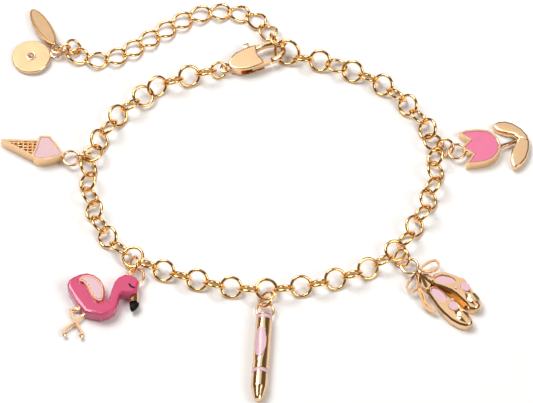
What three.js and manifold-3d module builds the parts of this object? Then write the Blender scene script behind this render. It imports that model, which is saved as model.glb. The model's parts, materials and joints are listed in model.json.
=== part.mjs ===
// A gold charm bracelet lying open in its loop on a flat surface, in millimetres, +Z up, +Y to the back.
import * as THREE from "three";
import { mergeVertices } from "three/addons/utils/BufferGeometryUtils.js";
import Module from "manifold-3d";

const wasm = await Module();
wasm.setup();

// Main chain of round links
const LINK_OUTER = 4.1;
const LINK_WIRE = 0.55;
const LINK_ROLL = 45;
const CHARM_LINK_ROLL = 22;
const LINK_STRETCH = 0.05;
const CHARM_SPACING = 8;
const LINK_SIDES = 10;
const LINK_WIRE_SIDES = 5;

// Extender chain of twisted curb links
const CURB_LENGTH = 4.36;
const CURB_WIDTH = 3.66;
const CURB_WIRE = 0.5;
const CURB_TWIST = 38;
const CURB_STRETCH = 0.06;
const CURB_SIDES = 10;

// Rings of round wire: outer diameter and wire
const CLASP_RING_OUTER = 3.2;
const END_RING_OUTER = 4.95;
const END_RING_WIRE = 0.54;
const JUMP_RING_OUTER = 3.48;
const TAG_RING_OUTER = 3.22;
const TAG_LINK_OUTER = 3.08;
const RING_WIRE = 0.46;
const TAG_LINK_WIRE = 0.38;
const RING_SIDES = 12;
const RING_WIRE_SIDES = 5;

// Loops of the charms and tags
const CHARM_LOOP_OUTER = 3.45;
const CHARM_LOOP_WIRE = 0.45;
const TAG_LOOP_OUTER = 2.34;
const TAG_LOOP_WIRE = 0.4;
const LOOP_HEIGHT = 1.2;

// Clearances
const HOLD_GAP = 0.25;
const INLAY_GAP = 0.06;
const LEVER_GAP = 0.2;

// Clasp, measured from the middle of its eye
const CLASP_LENGTH = 11.3;
const CLASP_WIDTH = 4.5;
const CLASP_THICK = 2.2;
const CLASP_PLATE = 0.45;
const CLASP_EDGE = 0.35;
const HOOK_LOW = 0.6;
const HOOK_THICK = 1.3;
const HOOK_EDGE = 0.28;
const EYE_OUTER = 2.2;
const EYE_WIRE = 0.5;
const EYE_HEIGHT = 1.2;
const PIN_RADIUS = 0.35;
const BOSS_RADIUS = 0.78;
const KNOB_REACH = 1.05;
const KNOB_LENGTH = 1.05;
const LEVER_ARM_WIDTH = 0.85;

// Ice cream charm
const ICE_LENGTH = 12.8;
const ICE_WIDTH = 5.4;
const ICE_THICK = 2.2;
const CONE_THICK = 1.95;
const ICE_RIM = 0.32;
const ICE_ENAMEL_DEEP = 0.45;
const WAFFLE_DEEP = 0.45;
const WAFFLE_RIM = 0.3;
const WAFFLE_RIB = 0.2;
const WAFFLE_ROW = 0.62;
const WAFFLE_COLUMN = 0.84;

// Flamingo charm
const FLAMINGO_LENGTH = 12.65;
const FLAMINGO_HEIGHT = 9;
const FLAMINGO_THICK = 2.7;
const FLAMINGO_LIFT = 0.2;
const FLAMINGO_EDGE = 0.55;
const CORE_INSET = 0.48;
const CORE_THICK = 1.45;
const LEG_RADIUS = 0.32;
const LEG_HEIGHT = 0.75;
const WING_THICK = 0.55;
const WING_RIM = 0.24;
const WING_ENAMEL_DEEP = 0.28;
const WING_POST = 0.6;
const EYE_LINE = 0.24;
const EYE_DEEP = 0.3;
const BEAK_RADIUS = 0.78;
const BEAK_LENGTH = 2.3;
const BEAK_HEIGHT = 1.07;

// Crayon charm
const CRAYON_RADIUS = 1.45;
const CRAYON_START = 1.35;
const CRAYON_SHOULDER = 16.3;
const CRAYON_LENGTH = 19;
const CRAYON_NOSE = 0.85;
const BAND_WIDTH = 0.85;
const BAND_DEEP = 0.22;
const UPPER_BAND = 2;
const LOWER_BAND = 13.2;
const LABEL_LENGTH = 6.2;
const LABEL_WIDTH = 2.1;
const LABEL_CENTRE = 7.5;
const LABEL_PROUD = 0.12;
const LABEL_LEAN = 16;

// Ballet slippers charm
const SLIPPERS_LENGTH = 12.2;
const SLIPPERS_DEPTH = 13;
const SLIPPER_THICK = 1.9;
const SLIPPER_EDGE = 0.3;
const INSOLE_DEEP = 0.6;
const INSOLE_THICK = 0.3;
const TOE_RISE = 0.45;
const TOE_SUNK = 0.7;
const TOE_LONG = 2.4;
const TOE_WIDE = 1.3;
const SPOT_DEEP = 0.35;
const TOE_SPOT_LONG = 1.05;
const TOE_SPOT_WIDE = 0.85;
const BOW_SPOT_RADIUS = 0.35;
const RIBBON_RADIUS = 0.27;
const KNOT_RADIUS = 0.6;
const KNOT_SEAT = 0.375;
const KNOT_HEADING = -41;
const FAN_THICK = 1.7;
const PLEAT = 0.3;

// Tulip charm
const TULIP_LENGTH = 13;
const TULIP_WIDTH = 10.2;
const TULIP_THICK = 1.75;
const TULIP_RIM = 0.34;
const TULIP_ENAMEL_DEEP = 0.4;
const STEM_WIDTH = 0.72;
const LEAF_THICK = 1.55;
const LEAF_EDGE = 0.5;

// Tags, measured from the middle of their loops
const OVAL_TAG_LENGTH = 9.2;
const OVAL_TAG_WIDTH = 2.9;
const OVAL_TAG_THICK = 0.9;
const TAG_OVERLAP = 0.3;
const TAG_EDGE = 0.12;
const ROUND_TAG_DIAMETER = 6.8;
const ROUND_TAG_THICK = 0.8;
const STONE_DIAMETER = 1.15;
const STONE_TABLE = 0.62;
const STONE_PROUD = 0.28;
const STONE_SEAT_DEEP = 0.45;
const BEZEL_WALL = 0.16;
const BEZEL_PROUD = 0.18;

// Where the chains lie: the middles of the end rings, and the routes between them
const CLASP_EYE = [-7.1, 27.44];
const CLASP_HEADING = 20.6;
const CLASP_RING_HEADING = 196;
const LAST_LINK_HEADING = -7;
const CLASP_PITCH = 3;
const END_RING_SHORT = 0.258;
const END_RING_ASIDE = 1.063;
const END_RING_TILT = 51.5;
const END_RING_LOW = 250.7;
const TAG_RING = [-33.99, 32.13];
const TAG_RING_TILT = 31.8;
const TAG_RING_LOW = 341.6;
const TAG_LINK = [-35.87, 31.42];
const TAG_LINK_TILT = 74.4;
const TAG_LINK_LOW = 107.7;
const OVAL_TAG_AT = [-36.97, 31.29, 1.76];
const OVAL_TAG_HEADING = 116.4;
const OVAL_TAG_FALL = 6.5;
const ROUND_TAG_AT = [-37.07, 30.95, 0.91];
const ROUND_TAG_HEADING = 189.9;
const ROUND_TAG_FALL = 3.3;
const MAIN_ROUTE = [
  [-15.6, 24.9],
  [-18.6, 23.6],
  [-21.7, 21.3],
  [-25.3, 18.1],
  [-29, 12.6],
  [-31, 7.4],
  [-31.2, 2.5],
  [-30.2, -2.6],
  [-28.1, -8],
  [-23.9, -12.3],
  [-18.8, -15.2],
  [-12.5, -17.4],
  [-6.6, -19],
  [-0.4, -19.5],
  [5.9, -18.9],
  [11.8, -17.4],
  [17.6, -15.2],
  [22.5, -11.4],
  [25.8, -6.4],
  [28.3, -0.7],
  [29.6, 5.4],
  [29.2, 11.8],
  [26.5, 17.2],
  [20.6, 23.6],
  [15.1, 26.6],
];
const EXTENDER_ROUTE = [
  [0.3, 35.4, 1.15],
  [-2, 38.2, 0.8],
  [-5.7, 39.7, 0.76],
  [-9.5, 39.7, 0.76],
  [-13.2, 38.8, 0.76],
  [-19.7, 34.6, 0.76],
  [-26, 30.4, 0.76],
  [-29.8, 29.5, 0.76],
];
const LAST_CURB = [-33.35, 30.43, 0.78];

const STRAIGHT = 1e-5;
const SHARPEST = 0.2;
const CROSSED = 0.95;
const radians = THREE.MathUtils.degToRad;
const UP = new THREE.Vector3(0, 0, 1);

// Finishes
function finish(color, roughness, metalness) {
  return new THREE.MeshStandardMaterial({ color, roughness, metalness });
}

const polishedGold = () => finish(0xe6b566, 0.18, 1);
const palePinkEnamel = () => finish(0xf0cdd7, 0.25, 0);
const pinkEnamel = () => finish(0xf78cac, 0.22, 0);
const hotPinkEnamel = () => finish(0xe96491, 0.2, 0);
const blackEnamel = () => finish(0x1a1414, 0.25, 0);
const pinkCrystal = () => finish(0xf3c3cf, 0.05, 0);

// A closed geometry as a solid that can be joined and cut
function solidOf(geometry) {
  const bare = geometry.clone();
  bare.deleteAttribute("normal");
  bare.deleteAttribute("uv");
  const merged = mergeVertices(bare);
  const corners = merged.index.array;
  const kept = [];
  for (let i = 0; i < corners.length; i += 3) {
    const [a, b, c] = corners.slice(i, i + 3);
    if (a !== b && b !== c && c !== a) {
      kept.push(a, b, c);
    }
  }
  return new wasm.Manifold(
    new wasm.Mesh({
      numProp: 3,
      vertProperties: merged.attributes.position.array,
      triVerts: new Uint32Array(kept),
    }),
  );
}

function geometryOf(solid) {
  const mesh = solid.getMesh();
  const indexed = new THREE.BufferGeometry();
  indexed.setAttribute("position", new THREE.BufferAttribute(mesh.vertProperties, 3));
  indexed.setIndex(new THREE.BufferAttribute(mesh.triVerts, 1));
  const faceted = indexed.toNonIndexed();
  faceted.computeVertexNormals();
  return faceted;
}

function piece(name, solid, material) {
  const mesh = new THREE.Mesh(geometryOf(solid), material);
  mesh.name = name;
  return mesh;
}

const join = (solids) => solids.reduce((whole, part) => whole.add(part));

// A closed outline: each run is a smooth curve that starts where the run before it ended, so that
// runs meet at corners. Points are [along, across] shares of a length and a width.
function outline(runs, length, width, perSpan = 2) {
  const scaled = runs.map((run) => run.map(([x, y]) => new THREE.Vector2(x * length, y * width)));
  if (scaled.length === 1) {
    const flat = scaled[0].map((p) => new THREE.Vector3(p.x, p.y, 0));
    const curve = new THREE.CatmullRomCurve3(flat, true);
    const all = curve.getPoints(flat.length * perSpan).slice(1);
    return all.map((p) => new THREE.Vector2(p.x, p.y));
  }
  return scaled.flatMap((run, i) => {
    const start = scaled.at(i - 1).at(-1);
    if (run.length === 1) {
      return run;
    }
    return new THREE.SplineCurve([start, ...run]).getPoints(run.length * perSpan).slice(1);
  });
}

// How far a point is from an outline
function clearOf(points, here) {
  const gaps = points.map((end, i) => {
    const start = points.at(i - 1);
    const edge = end.clone().sub(start);
    const share = THREE.MathUtils.clamp(here.clone().sub(start).dot(edge) / edge.lengthSq(), 0, 1);
    return start.clone().addScaledVector(edge, share).distanceTo(here);
  });
  return Math.min(...gaps);
}

// The outline moved inward, without the points that would cross over
function inset(points, distance) {
  const turn = Math.sign(THREE.ShapeUtils.area(points));
  const moved = points.map((here, i) => {
    const before = here.clone().sub(points.at(i - 1)).normalize();
    const after = points[(i + 1) % points.length].clone().sub(here).normalize();
    const inward = new THREE.Vector2(-before.y - after.y, before.x + after.x);
    const reach = (2 * distance * turn) / Math.max(inward.lengthSq(), SHARPEST);
    return here.clone().addScaledVector(inward, reach);
  });
  return moved.filter((here) => clearOf(points, here) > CROSSED * distance);
}

// The outline as a shape, without the points in the middle of its straight parts
function shapeOf(points) {
  const bends = points.filter((here, i) => {
    const before = here.clone().sub(points.at(i - 1));
    const after = points[(i + 1) % points.length].clone().sub(here);
    return Math.abs(before.cross(after)) > STRAIGHT;
  });
  return new THREE.Shape(bends);
}

// A flat plate from a low to a high level
function plate(points, low, high) {
  const flat = new THREE.ExtrudeGeometry(shapeOf(points), { depth: high - low, bevelEnabled: false });
  return solidOf(flat.translate(0, 0, low));
}

// The same with its edges rounded
function pillow(points, low, high, edge, segments = 2) {
  const rounded = new THREE.ExtrudeGeometry(shapeOf(inset(points, edge)), {
    depth: high - low - 2 * edge,
    bevelThickness: edge,
    bevelSize: edge,
    bevelSegments: segments,
  });
  return solidOf(rounded.translate(0, 0, low + edge));
}

function block(x, y, z) {
  const box = new THREE.BoxGeometry(x[1] - x[0], y[1] - y[0], z[1] - z[0]);
  return solidOf(box.translate((x[0] + x[1]) / 2, (y[0] + y[1]) / 2, (z[0] + z[1]) / 2));
}

function upright(x, y, radius, low, high, sides = 20) {
  const cylinder = new THREE.CylinderGeometry(radius, radius, high - low, sides);
  return solidOf(cylinder.rotateX(Math.PI / 2).translate(x, y, (low + high) / 2));
}

function bead(centre, radii, across = 12) {
  const ball = new THREE.SphereGeometry(1, across, across / 2);
  return solidOf(ball.scale(...radii).translate(...centre));
}

// A round rod that follows a smooth curve through a few points
function rod(points, radius, { steps = 10, sides = 8, closed = false } = {}) {
  const curve = new THREE.CatmullRomCurve3(points.map((p) => new THREE.Vector3(...p)), closed);
  const circle = new THREE.EllipseCurve(0, 0, radius, radius);
  const section = new THREE.Shape(circle.getPoints(sides).slice(0, sides));
  return solidOf(new THREE.ExtrudeGeometry(section, { steps, extrudePath: curve }));
}

// A closed wire loop in the XY plane. Its length and width are those of the wire's middle line. A
// ridge of the wire faces inward, and a twisted loop turns about X from one end to the other.
function wireLoop({ long, wide = long, wire, twist = 0, sides = RING_SIDES, wireSides = RING_WIRE_SIDES }) {
  const loop = new THREE.TorusGeometry(long / 2, wire / 2, wireSides, sides);
  const at = loop.attributes.position;
  const ridge = ((wireSides % 2) * Math.PI) / wireSides;
  const middle = new THREE.Vector3();
  const outward = new THREE.Vector3();
  for (let i = 0; i < at.count; i += 1) {
    const round = ((i % (sides + 1)) / sides) * 2 * Math.PI;
    const about = (Math.floor(i / (sides + 1)) / wireSides) * 2 * Math.PI + ridge;
    middle.set((long / 2) * Math.cos(round), (wide / 2) * Math.sin(round), 0);
    outward.set(wide * Math.cos(round), long * Math.sin(round), 0).normalize();
    middle.addScaledVector(outward, (wire / 2) * Math.cos(about));
    middle.addScaledVector(UP, (wire / 2) * Math.sin(about));
    middle.applyAxisAngle(new THREE.Vector3(1, 0, 0), radians(twist) * Math.cos(round));
    at.setXYZ(i, middle.x, middle.y, middle.z);
  }
  return loop;
}

// The middle line's diameter of a ring
const middleOf = (outer, wire) => outer - wire;

// A frame whose X axis runs along and whose Y axis is rolled up from across
function frameAt(centre, along, across, roll) {
  const side = across.clone().multiplyScalar(Math.cos(radians(roll)));
  side.addScaledVector(UP, Math.sin(radians(roll)));
  const x = along.clone().normalize();
  side.addScaledVector(x, -side.dot(x)).normalize();
  return new THREE.Matrix4().makeBasis(x, side, x.clone().cross(side)).setPosition(centre);
}

const heading = (degrees) => new THREE.Vector3(Math.cos(radians(degrees)), Math.sin(radians(degrees)), 0);
const leftOf = (direction) => new THREE.Vector3(-direction.y, direction.x, 0).normalize();
const rightOf = (direction) => leftOf(direction).negate();

// A ring that leans on the surface: its plane falls by the tilt toward the low heading
function leaningRing([x, y], outer, wire, tilt, low) {
  const radius = middleOf(outer, wire) / 2;
  const fall = heading(low).multiplyScalar(Math.cos(radians(tilt)));
  fall.z = -Math.sin(radians(tilt));
  const level = leftOf(heading(low));
  const centre = new THREE.Vector3(x, y, radius * Math.sin(radians(tilt)) + wire / 2 + INLAY_GAP / 2);
  const frame = new THREE.Matrix4().makeBasis(fall, level, fall.clone().cross(level)).setPosition(centre);
  return { frame, radius, wire, outer };
}

// The middle of a second wire that is held inside a ring, at an angle round the ring
function heldIn(ring, angle, wire) {
  const reach = ring.radius - (ring.wire + wire) / 2 - HOLD_GAP;
  const inside = new THREE.Vector3(reach * Math.cos(radians(angle)), reach * Math.sin(radians(angle)), 0);
  return inside.applyMatrix4(ring.frame);
}

function ringPiece(name, ring) {
  const loop = wireLoop({ long: 2 * ring.radius, wire: ring.wire });
  const mesh = piece(name, solidOf(loop), polishedGold());
  mesh.applyMatrix4(ring.frame);
  return mesh;
}

// Links along a route, an even pitch apart, with the direction of each
function stations(route, pitch) {
  const length = route.getLength();
  const spans = Math.floor(length / pitch);
  const places = [];
  for (let i = 0; i <= spans; i += 1) {
    const share = i / spans;
    const along = route.getTangentAt(share);
    places.push({ centre: route.getPointAt(share), along, out: rightOf(along), number: i + 1 });
  }
  return places;
}

// The rings at the two ends of the main chain
const clasp = new THREE.Group();
clasp.position.set(...CLASP_EYE, 0);
clasp.rotation.set(0, -radians(CLASP_PITCH), radians(CLASP_HEADING), "ZYX");
clasp.updateMatrix();
const endRing = endRingAt();
const claspRing = claspRingAt();

// The end ring hangs in the hook, a little short of the hook's end and to the right of the clasp
function endRingAt() {
  const along = heading(CLASP_HEADING);
  const middle = new THREE.Vector2(...CLASP_EYE)
    .addScaledVector(along, CLASP_LENGTH - END_RING_SHORT)
    .addScaledVector(rightOf(along), END_RING_ASIDE);
  return leaningRing(middle.toArray(), END_RING_OUTER, END_RING_WIRE, END_RING_TILT, END_RING_LOW);
}

function claspRingAt() {
  const radius = middleOf(CLASP_RING_OUTER, RING_WIRE) / 2;
  const along = heading(CLASP_RING_HEADING);
  const [x, y] = CLASP_EYE;
  const centre = new THREE.Vector3(x, y, 0).addScaledVector(along, radius - 0.05);
  centre.z = radius * Math.sin(radians(LINK_ROLL)) + RING_WIRE / 2;
  return { frame: frameAt(centre, along, rightOf(along), LINK_ROLL), radius, wire: RING_WIRE, along };
}

// Main chain: every other link is rolled the other way. A turn in the chain between the fourth and
// the fifth link swaps the two ways. The links that carry charms lie flatter.
const linkMiddle = middleOf(LINK_OUTER, LINK_WIRE);
const linkHeight = (linkMiddle / 2) * Math.sin(radians(LINK_ROLL)) + LINK_WIRE / 2;

function mainRoute() {
  const back = heading(LAST_LINK_HEADING);
  const first = heldIn(claspRing, 0, LINK_WIRE).addScaledVector(claspRing.along, linkMiddle / 2);
  const last = heldIn(endRing, END_LINK_ROUND, LINK_WIRE).addScaledVector(back, linkMiddle / 2);
  const second = first.clone().addScaledVector(claspRing.along, LINK_OUTER / 2);
  const last2 = last.clone().addScaledVector(back, LINK_OUTER / 2);
  const middles = MAIN_ROUTE.map(([x, y]) => new THREE.Vector3(x, y));
  const points = [first, second, ...middles, last2, last];
  points.forEach((point) => point.setZ(linkHeight));
  return new THREE.CatmullRomCurve3(points, false, "centripetal");
}

const END_LINK_ROUND = 63;
const TURNED_LINKS = 4;
const TURNED_ROLL = 58;
const TURNED_LIFT = 0.25;
const links = stations(mainRoute(), linkMiddle - LINK_WIRE + LINK_STRETCH);
const middleLink = 2 * Math.round(links.length / 4);
const isCharmLink = ({ number }) => (number - middleLink) % CHARM_SPACING === 0 && number > TURNED_LINKS;

function mainRoll(place) {
  const up = (place.number > TURNED_LINKS) === (place.number % 2 === 1);
  if (place.number === TURNED_LINKS) {
    return TURNED_ROLL;
  }
  const flat = isCharmLink(place) || place.number === TURNED_LINKS + 1;
  return (up ? 1 : -1) * (flat ? CHARM_LINK_ROLL : LINK_ROLL);
}

function mainChain() {
  const solids = links.map((place) => {
    const loop = wireLoop({
      long: linkMiddle,
      wire: LINK_WIRE,
      sides: LINK_SIDES,
      wireSides: LINK_WIRE_SIDES,
    });
    const centre = place.centre.clone();
    centre.z += place.number === TURNED_LINKS ? TURNED_LIFT : 0;
    loop.applyMatrix4(frameAt(centre, place.along, place.out, mainRoll(place)));
    return solidOf(loop);
  });
  return piece("main_chain", join(solids), polishedGold());
}

// Extender chain: each link is twisted, so that the chain lies flat
function extenderChain() {
  const wire = CURB_WIRE;
  const long = middleOf(CURB_LENGTH, wire);
  const wide = middleOf(CURB_WIDTH, wire);
  const first = heldIn(endRing, 206, wire);
  first.add(new THREE.Vector3(-0.699, 0.631, -0.337).multiplyScalar(long / 2));
  const middles = EXTENDER_ROUTE.map((p) => new THREE.Vector3(...p));
  const points = [first, ...middles, new THREE.Vector3(...LAST_CURB)];
  const route = new THREE.CatmullRomCurve3(points, false, "centripetal");
  const solids = stations(route, long - wire + CURB_STRETCH).map(({ centre, along, out, number }) => {
    const size = { long, wide, wire, twist: CURB_TWIST };
    const loop = wireLoop({ ...size, sides: CURB_SIDES, wireSides: LINK_WIRE_SIDES });
    loop.applyMatrix4(frameAt(centre, along, out.negate(), number === 1 ? 45 : 0));
    return solidOf(loop);
  });
  return piece("extender_chain", join(solids), polishedGold());
}

// Clasp, in the frame of its eye: an oval body with a slot for the lever, and a hook
const CLASP_BODY = [
  [
    [0.06, 0.12],
    [0.14, 0.32],
    [0.23, 0.44],
    [0.36, 0.49],
    [0.5, 0.5],
    [0.575, 0.5],
  ],
  [[0.56, 0.3]],
  [
    [0.54, 0.11],
    [0.545, -0.07],
    [0.575, -0.21],
  ],
  [[0.575, -0.46]],
  [
    [0.44, -0.49],
    [0.32, -0.48],
    [0.21, -0.41],
    [0.13, -0.29],
    [0.06, -0.12],
  ],
];
const CLASP_HOOK = [
  [[0.5, 0.3]],
  [[0.5, 0.5]],
  [
    [0.62, 0.5],
    [0.76, 0.5],
    [0.875, 0.43],
    [0.955, 0.28],
    [0.995, 0.07],
    [0.985, -0.14],
    [0.94, -0.3],
    [0.85, -0.41],
    [0.76, -0.465],
    [0.7, -0.475],
  ],
  [[0.7, -0.27]],
  [
    [0.81, -0.22],
    [0.89, -0.13],
    [0.925, 0],
    [0.9, 0.155],
    [0.84, 0.255],
    [0.75, 0.31],
    [0.64, 0.32],
    [0.575, 0.27],
  ],
];
const PIVOT = [0.38, -0.22];
const GATE_SWING_ROOM = 0.22;
const pivotX = PIVOT[0] * CLASP_LENGTH;
const pivotY = PIVOT[1] * CLASP_WIDTH;
const gateOuter = -0.43 * CLASP_WIDTH;
const gateInner = -0.265 * CLASP_WIDTH;
const gateTip = 0.7 * CLASP_LENGTH - LEVER_GAP;
const slotFront = 0.485 * CLASP_LENGTH;
const slotRear = 0.2 * CLASP_LENGTH;
const slotLow = CLASP_PLATE;
const slotHigh = CLASP_THICK - CLASP_PLATE;
const armFront = slotFront - LEVER_GAP;
const knobTop = CLASP_WIDTH / 2 + KNOB_REACH;

function claspSlot() {
  const z = [slotLow, slotHigh];
  const swingRoom = gateInner + GATE_SWING_ROOM * CLASP_WIDTH;
  return join([
    block([slotRear, slotFront], [-CLASP_WIDTH, CLASP_WIDTH], z),
    block([slotFront - 0.1, CLASP_LENGTH * 0.6], [-CLASP_WIDTH, swingRoom], z),
  ]);
}

function claspBody() {
  const oval = outline(CLASP_BODY, CLASP_LENGTH, CLASP_WIDTH, 1);
  const hook = outline(CLASP_HOOK, CLASP_LENGTH, CLASP_WIDTH, 1);
  const eye = wireLoop({ long: middleOf(EYE_OUTER, EYE_WIRE), wire: EYE_WIRE });
  const solid = join([
    pillow(oval, 0, CLASP_THICK, CLASP_EDGE),
    pillow(hook, HOOK_LOW, HOOK_LOW + HOOK_THICK, HOOK_EDGE, 1),
    solidOf(eye.translate(0, 0, EYE_HEIGHT)),
  ]);
  const pin = upright(pivotX, pivotY, PIN_RADIUS, slotLow - 0.1, slotHigh + 0.1, 12);
  return piece("clasp_body", solid.subtract(claspSlot()).add(pin), polishedGold());
}

// The lever turns on the pin: its gate closes the hook, and its knob stands out of the far side
function claspLever() {
  const low = slotLow + LEVER_GAP;
  const high = slotHigh - LEVER_GAP;
  const z = [low, high];
  const armRear = armFront - LEVER_ARM_WIDTH;
  const knobX = [armFront - LEVER_ARM_WIDTH, armFront - LEVER_ARM_WIDTH + KNOB_LENGTH];
  const solid = join([
    upright(pivotX, pivotY, BOSS_RADIUS, low, high, 16),
    block([pivotX, gateTip], [gateOuter, gateInner], z),
    block([armRear, armFront], [pivotY, knobTop], z),
    block(knobX, [CLASP_WIDTH / 2 + LEVER_GAP, knobTop], [low - LEVER_GAP / 2, high + LEVER_GAP / 2]),
  ]);
  const bore = upright(pivotX, pivotY, PIN_RADIUS + LEVER_GAP, low - 1, high + 1, 12);
  const lever = piece("clasp_lever", solid.subtract(bore), polishedGold());
  return lever;
}

// Where a charm hangs: its jump ring holds the outer wire of a link, a little round from the link's
// outward direction, and the near wire of the charm's loop. The span goes from the one wire to the
// other. The ring and the loop point away from the link at angles from the held wire's direction.
const HANGS = {
  ice_cream: {
    round: 21.6,
    span: 0.59,
    shift: 0.41,
    lean: 58.3,
    aside: 0.2,
    ringAngle: 8.4,
    loopAngle: 15,
    facing: 161.6,
  },
  flamingo: {
    round: 39.1,
    span: 0.55,
    shift: 0.29,
    lean: 64,
    aside: -0.05,
    ringAngle: -2.8,
    loopAngle: 2.1,
    facing: 0.3,
  },
  crayon: {
    round: -2.9,
    span: 1.06,
    shift: 0.23,
    lean: 43.4,
    aside: 0.08,
    ringAngle: -1.9,
    loopAngle: -2.1,
    facing: -93.6,
  },
  slippers: {
    round: -8,
    span: 0.74,
    shift: 0.17,
    lean: 42.2,
    aside: 0,
    ringAngle: 0,
    loopAngle: 0.3,
    facing: 1,
  },
  tulip: {
    round: -32.5,
    span: 1.2,
    shift: 0.11,
    lean: 42,
    aside: 0,
    ringAngle: 0.2,
    loopAngle: -0.6,
    facing: 8.1,
  },
};

function hang(name, number, charm) {
  const { round, span, shift, lean, aside, ringAngle, loopAngle, facing } = HANGS[name];
  const link = links[number - 1];
  const flat = Math.cos(radians(mainRoll(link)));
  const reach = heading(round).multiplyScalar(linkMiddle / 2);
  const arm = link.out.clone().multiplyScalar(reach.x * flat).addScaledVector(link.along, reach.y);
  const held = link.centre.clone().add(arm);
  const outAngle = THREE.MathUtils.radToDeg(Math.atan2(arm.y, arm.x));
  const toLoop = heading(outAngle + ringAngle);
  const radius = middleOf(JUMP_RING_OUTER, RING_WIRE) / 2;
  const loopWire = held.clone().addScaledVector(toLoop, span);
  const centre = held.clone().addScaledVector(toLoop, span / 2 - shift);
  centre.addScaledVector(leftOf(toLoop), aside);
  centre.z = radius * Math.sin(radians(lean)) + RING_WIRE / 2;
  const ring = { frame: frameAt(centre, toLoop, leftOf(toLoop), lean), radius, wire: RING_WIRE };
  const away = heading(outAngle + loopAngle);
  const loop = loopWire.addScaledVector(away, middleOf(CHARM_LOOP_OUTER, CHARM_LOOP_WIRE) / 2);
  const group = charm();
  group.position.set(loop.x, loop.y, 0);
  group.rotation.z = radians(facing);
  return [ringPiece(name + "_ring", ring), group];
}

function charmLoop(height = LOOP_HEIGHT, grow = 0) {
  const loop = wireLoop({
    long: middleOf(CHARM_LOOP_OUTER, CHARM_LOOP_WIRE),
    wire: CHARM_LOOP_WIRE + 2 * grow,
  });
  return solidOf(loop.translate(0, 0, height));
}

// Ice cream: a waffle cone and an enamelled swirl, with X from the loop to the cone's tip
const SWIRL = [
  [
    [0.52, -0.24],
    [0.515, -0.39],
    [0.44, -0.46],
    [0.375, -0.49],
    [0.315, -0.38],
    [0.25, -0.27],
    [0.17, -0.1],
    [0.105, 0.08],
    [0.19, 0.23],
    [0.265, 0.37],
    [0.33, 0.45],
    [0.43, 0.51],
    [0.49, 0.46],
    [0.515, 0.37],
    [0.505, 0.08],
  ],
];
const CONE = [
  [[0.44, -0.24]],
  [[0.52, -0.24]],
  [[0.98, 0.075]],
  [[1, 0.12]],
  [[0.98, 0.16]],
  [[0.52, 0.41]],
  [[0.44, 0.41]],
];
const WAFFLE_FIELD = [[[0.44, -0.24]], [[0.52, -0.24]], [[1, 0.12]], [[0.52, 0.41]], [[0.44, 0.41]]];

function iceCream() {
  const group = new THREE.Group();
  const swirl = outline(SWIRL, ICE_LENGTH, ICE_WIDTH, 1);
  const cone = outline(CONE, ICE_LENGTH, ICE_WIDTH);
  const waffleLow = CONE_THICK - WAFFLE_DEEP;
  const field = inset(outline(WAFFLE_FIELD, ICE_LENGTH, ICE_WIDTH), WAFFLE_RIM);
  const cells = plate(field, waffleLow, ICE_THICK).subtract(waffle(cone, waffleLow));
  const base = plate(cone, 0, CONE_THICK).subtract(cells);
  const enamelLow = ICE_THICK - ICE_ENAMEL_DEEP;
  const body = join([base, charmLoop()]);
  const whole = body.add(plate(swirl, 0, ICE_THICK));
  const rim = inset(swirl, ICE_RIM);
  const pocket = plate(rim, enamelLow, ICE_THICK + 1);
  const enamel = plate(inset(rim, INLAY_GAP), enamelLow + INLAY_GAP, ICE_THICK);
  group.add(piece("ice_cream_charm", whole.subtract(pocket), polishedGold()));
  group.add(piece("ice_cream_enamel", enamel, palePinkEnamel()));
  return group;
}

// Ribs of the waffle run along the cone's upper edge and across it
function waffle(cone, low) {
  const corner = cone[1];
  const slope = Math.atan2(cone[2].y - corner.y, cone[2].x - corner.x);
  const high = CONE_THICK - 0.05;
  const reach = ICE_LENGTH / 2;
  const ribs = [];
  for (let row = 1; row * WAFFLE_ROW < ICE_WIDTH; row += 1) {
    const y = row * WAFFLE_ROW;
    ribs.push(block([-reach, reach], [y - WAFFLE_RIB / 2, y + WAFFLE_RIB / 2], [low - 0.1, high]));
  }
  for (let column = 1; column * WAFFLE_COLUMN < reach; column += 1) {
    const x = column * WAFFLE_COLUMN;
    ribs.push(block([x - WAFFLE_RIB / 2, x + WAFFLE_RIB / 2], [-1, ICE_WIDTH], [low - 0.1, high]));
  }
  const turned = new THREE.Matrix4().makeRotationZ(slope).setPosition(corner.x, corner.y, 0);
  return join(ribs).transform(turned.elements);
}

// Flamingo: a cast core with the legs and the beak's base, and a rounded enamel body over it. X is
// to the head's side, Y is up the neck.
const FLAMINGO = [
  [
    [-0.91, -0.17],
    [-0.85, -0.105],
    [-0.76, -0.04],
    [-0.665, -0.015],
    [-0.565, -0.06],
    [-0.485, -0.155],
    [-0.435, -0.28],
    [-0.412, -0.43],
    [-0.405, -0.57],
    [-0.375, -0.63],
    [-0.35, -0.52],
    [-0.325, -0.375],
    [-0.29, -0.22],
    [-0.24, -0.125],
    [-0.15, -0.05],
    [-0.06, -0.065],
    [0.015, -0.13],
    [0.055, -0.22],
    [0.04, -0.34],
    [0.03, -0.43],
  ],
  [
    [-0.06, -0.5],
    [-0.12, -0.49],
    [-0.185, -0.48],
    [-0.216, -0.54],
    [-0.23, -0.64],
    [-0.247, -0.77],
    [-0.285, -0.88],
    [-0.365, -0.97],
    [-0.465, -1.01],
    [-0.615, -0.95],
    [-0.69, -0.92],
    [-0.73, -0.84],
    [-0.79, -0.72],
    [-0.84, -0.6],
    [-0.885, -0.46],
    [-0.925, -0.36],
    [-0.94, -0.27],
  ],
];
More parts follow.
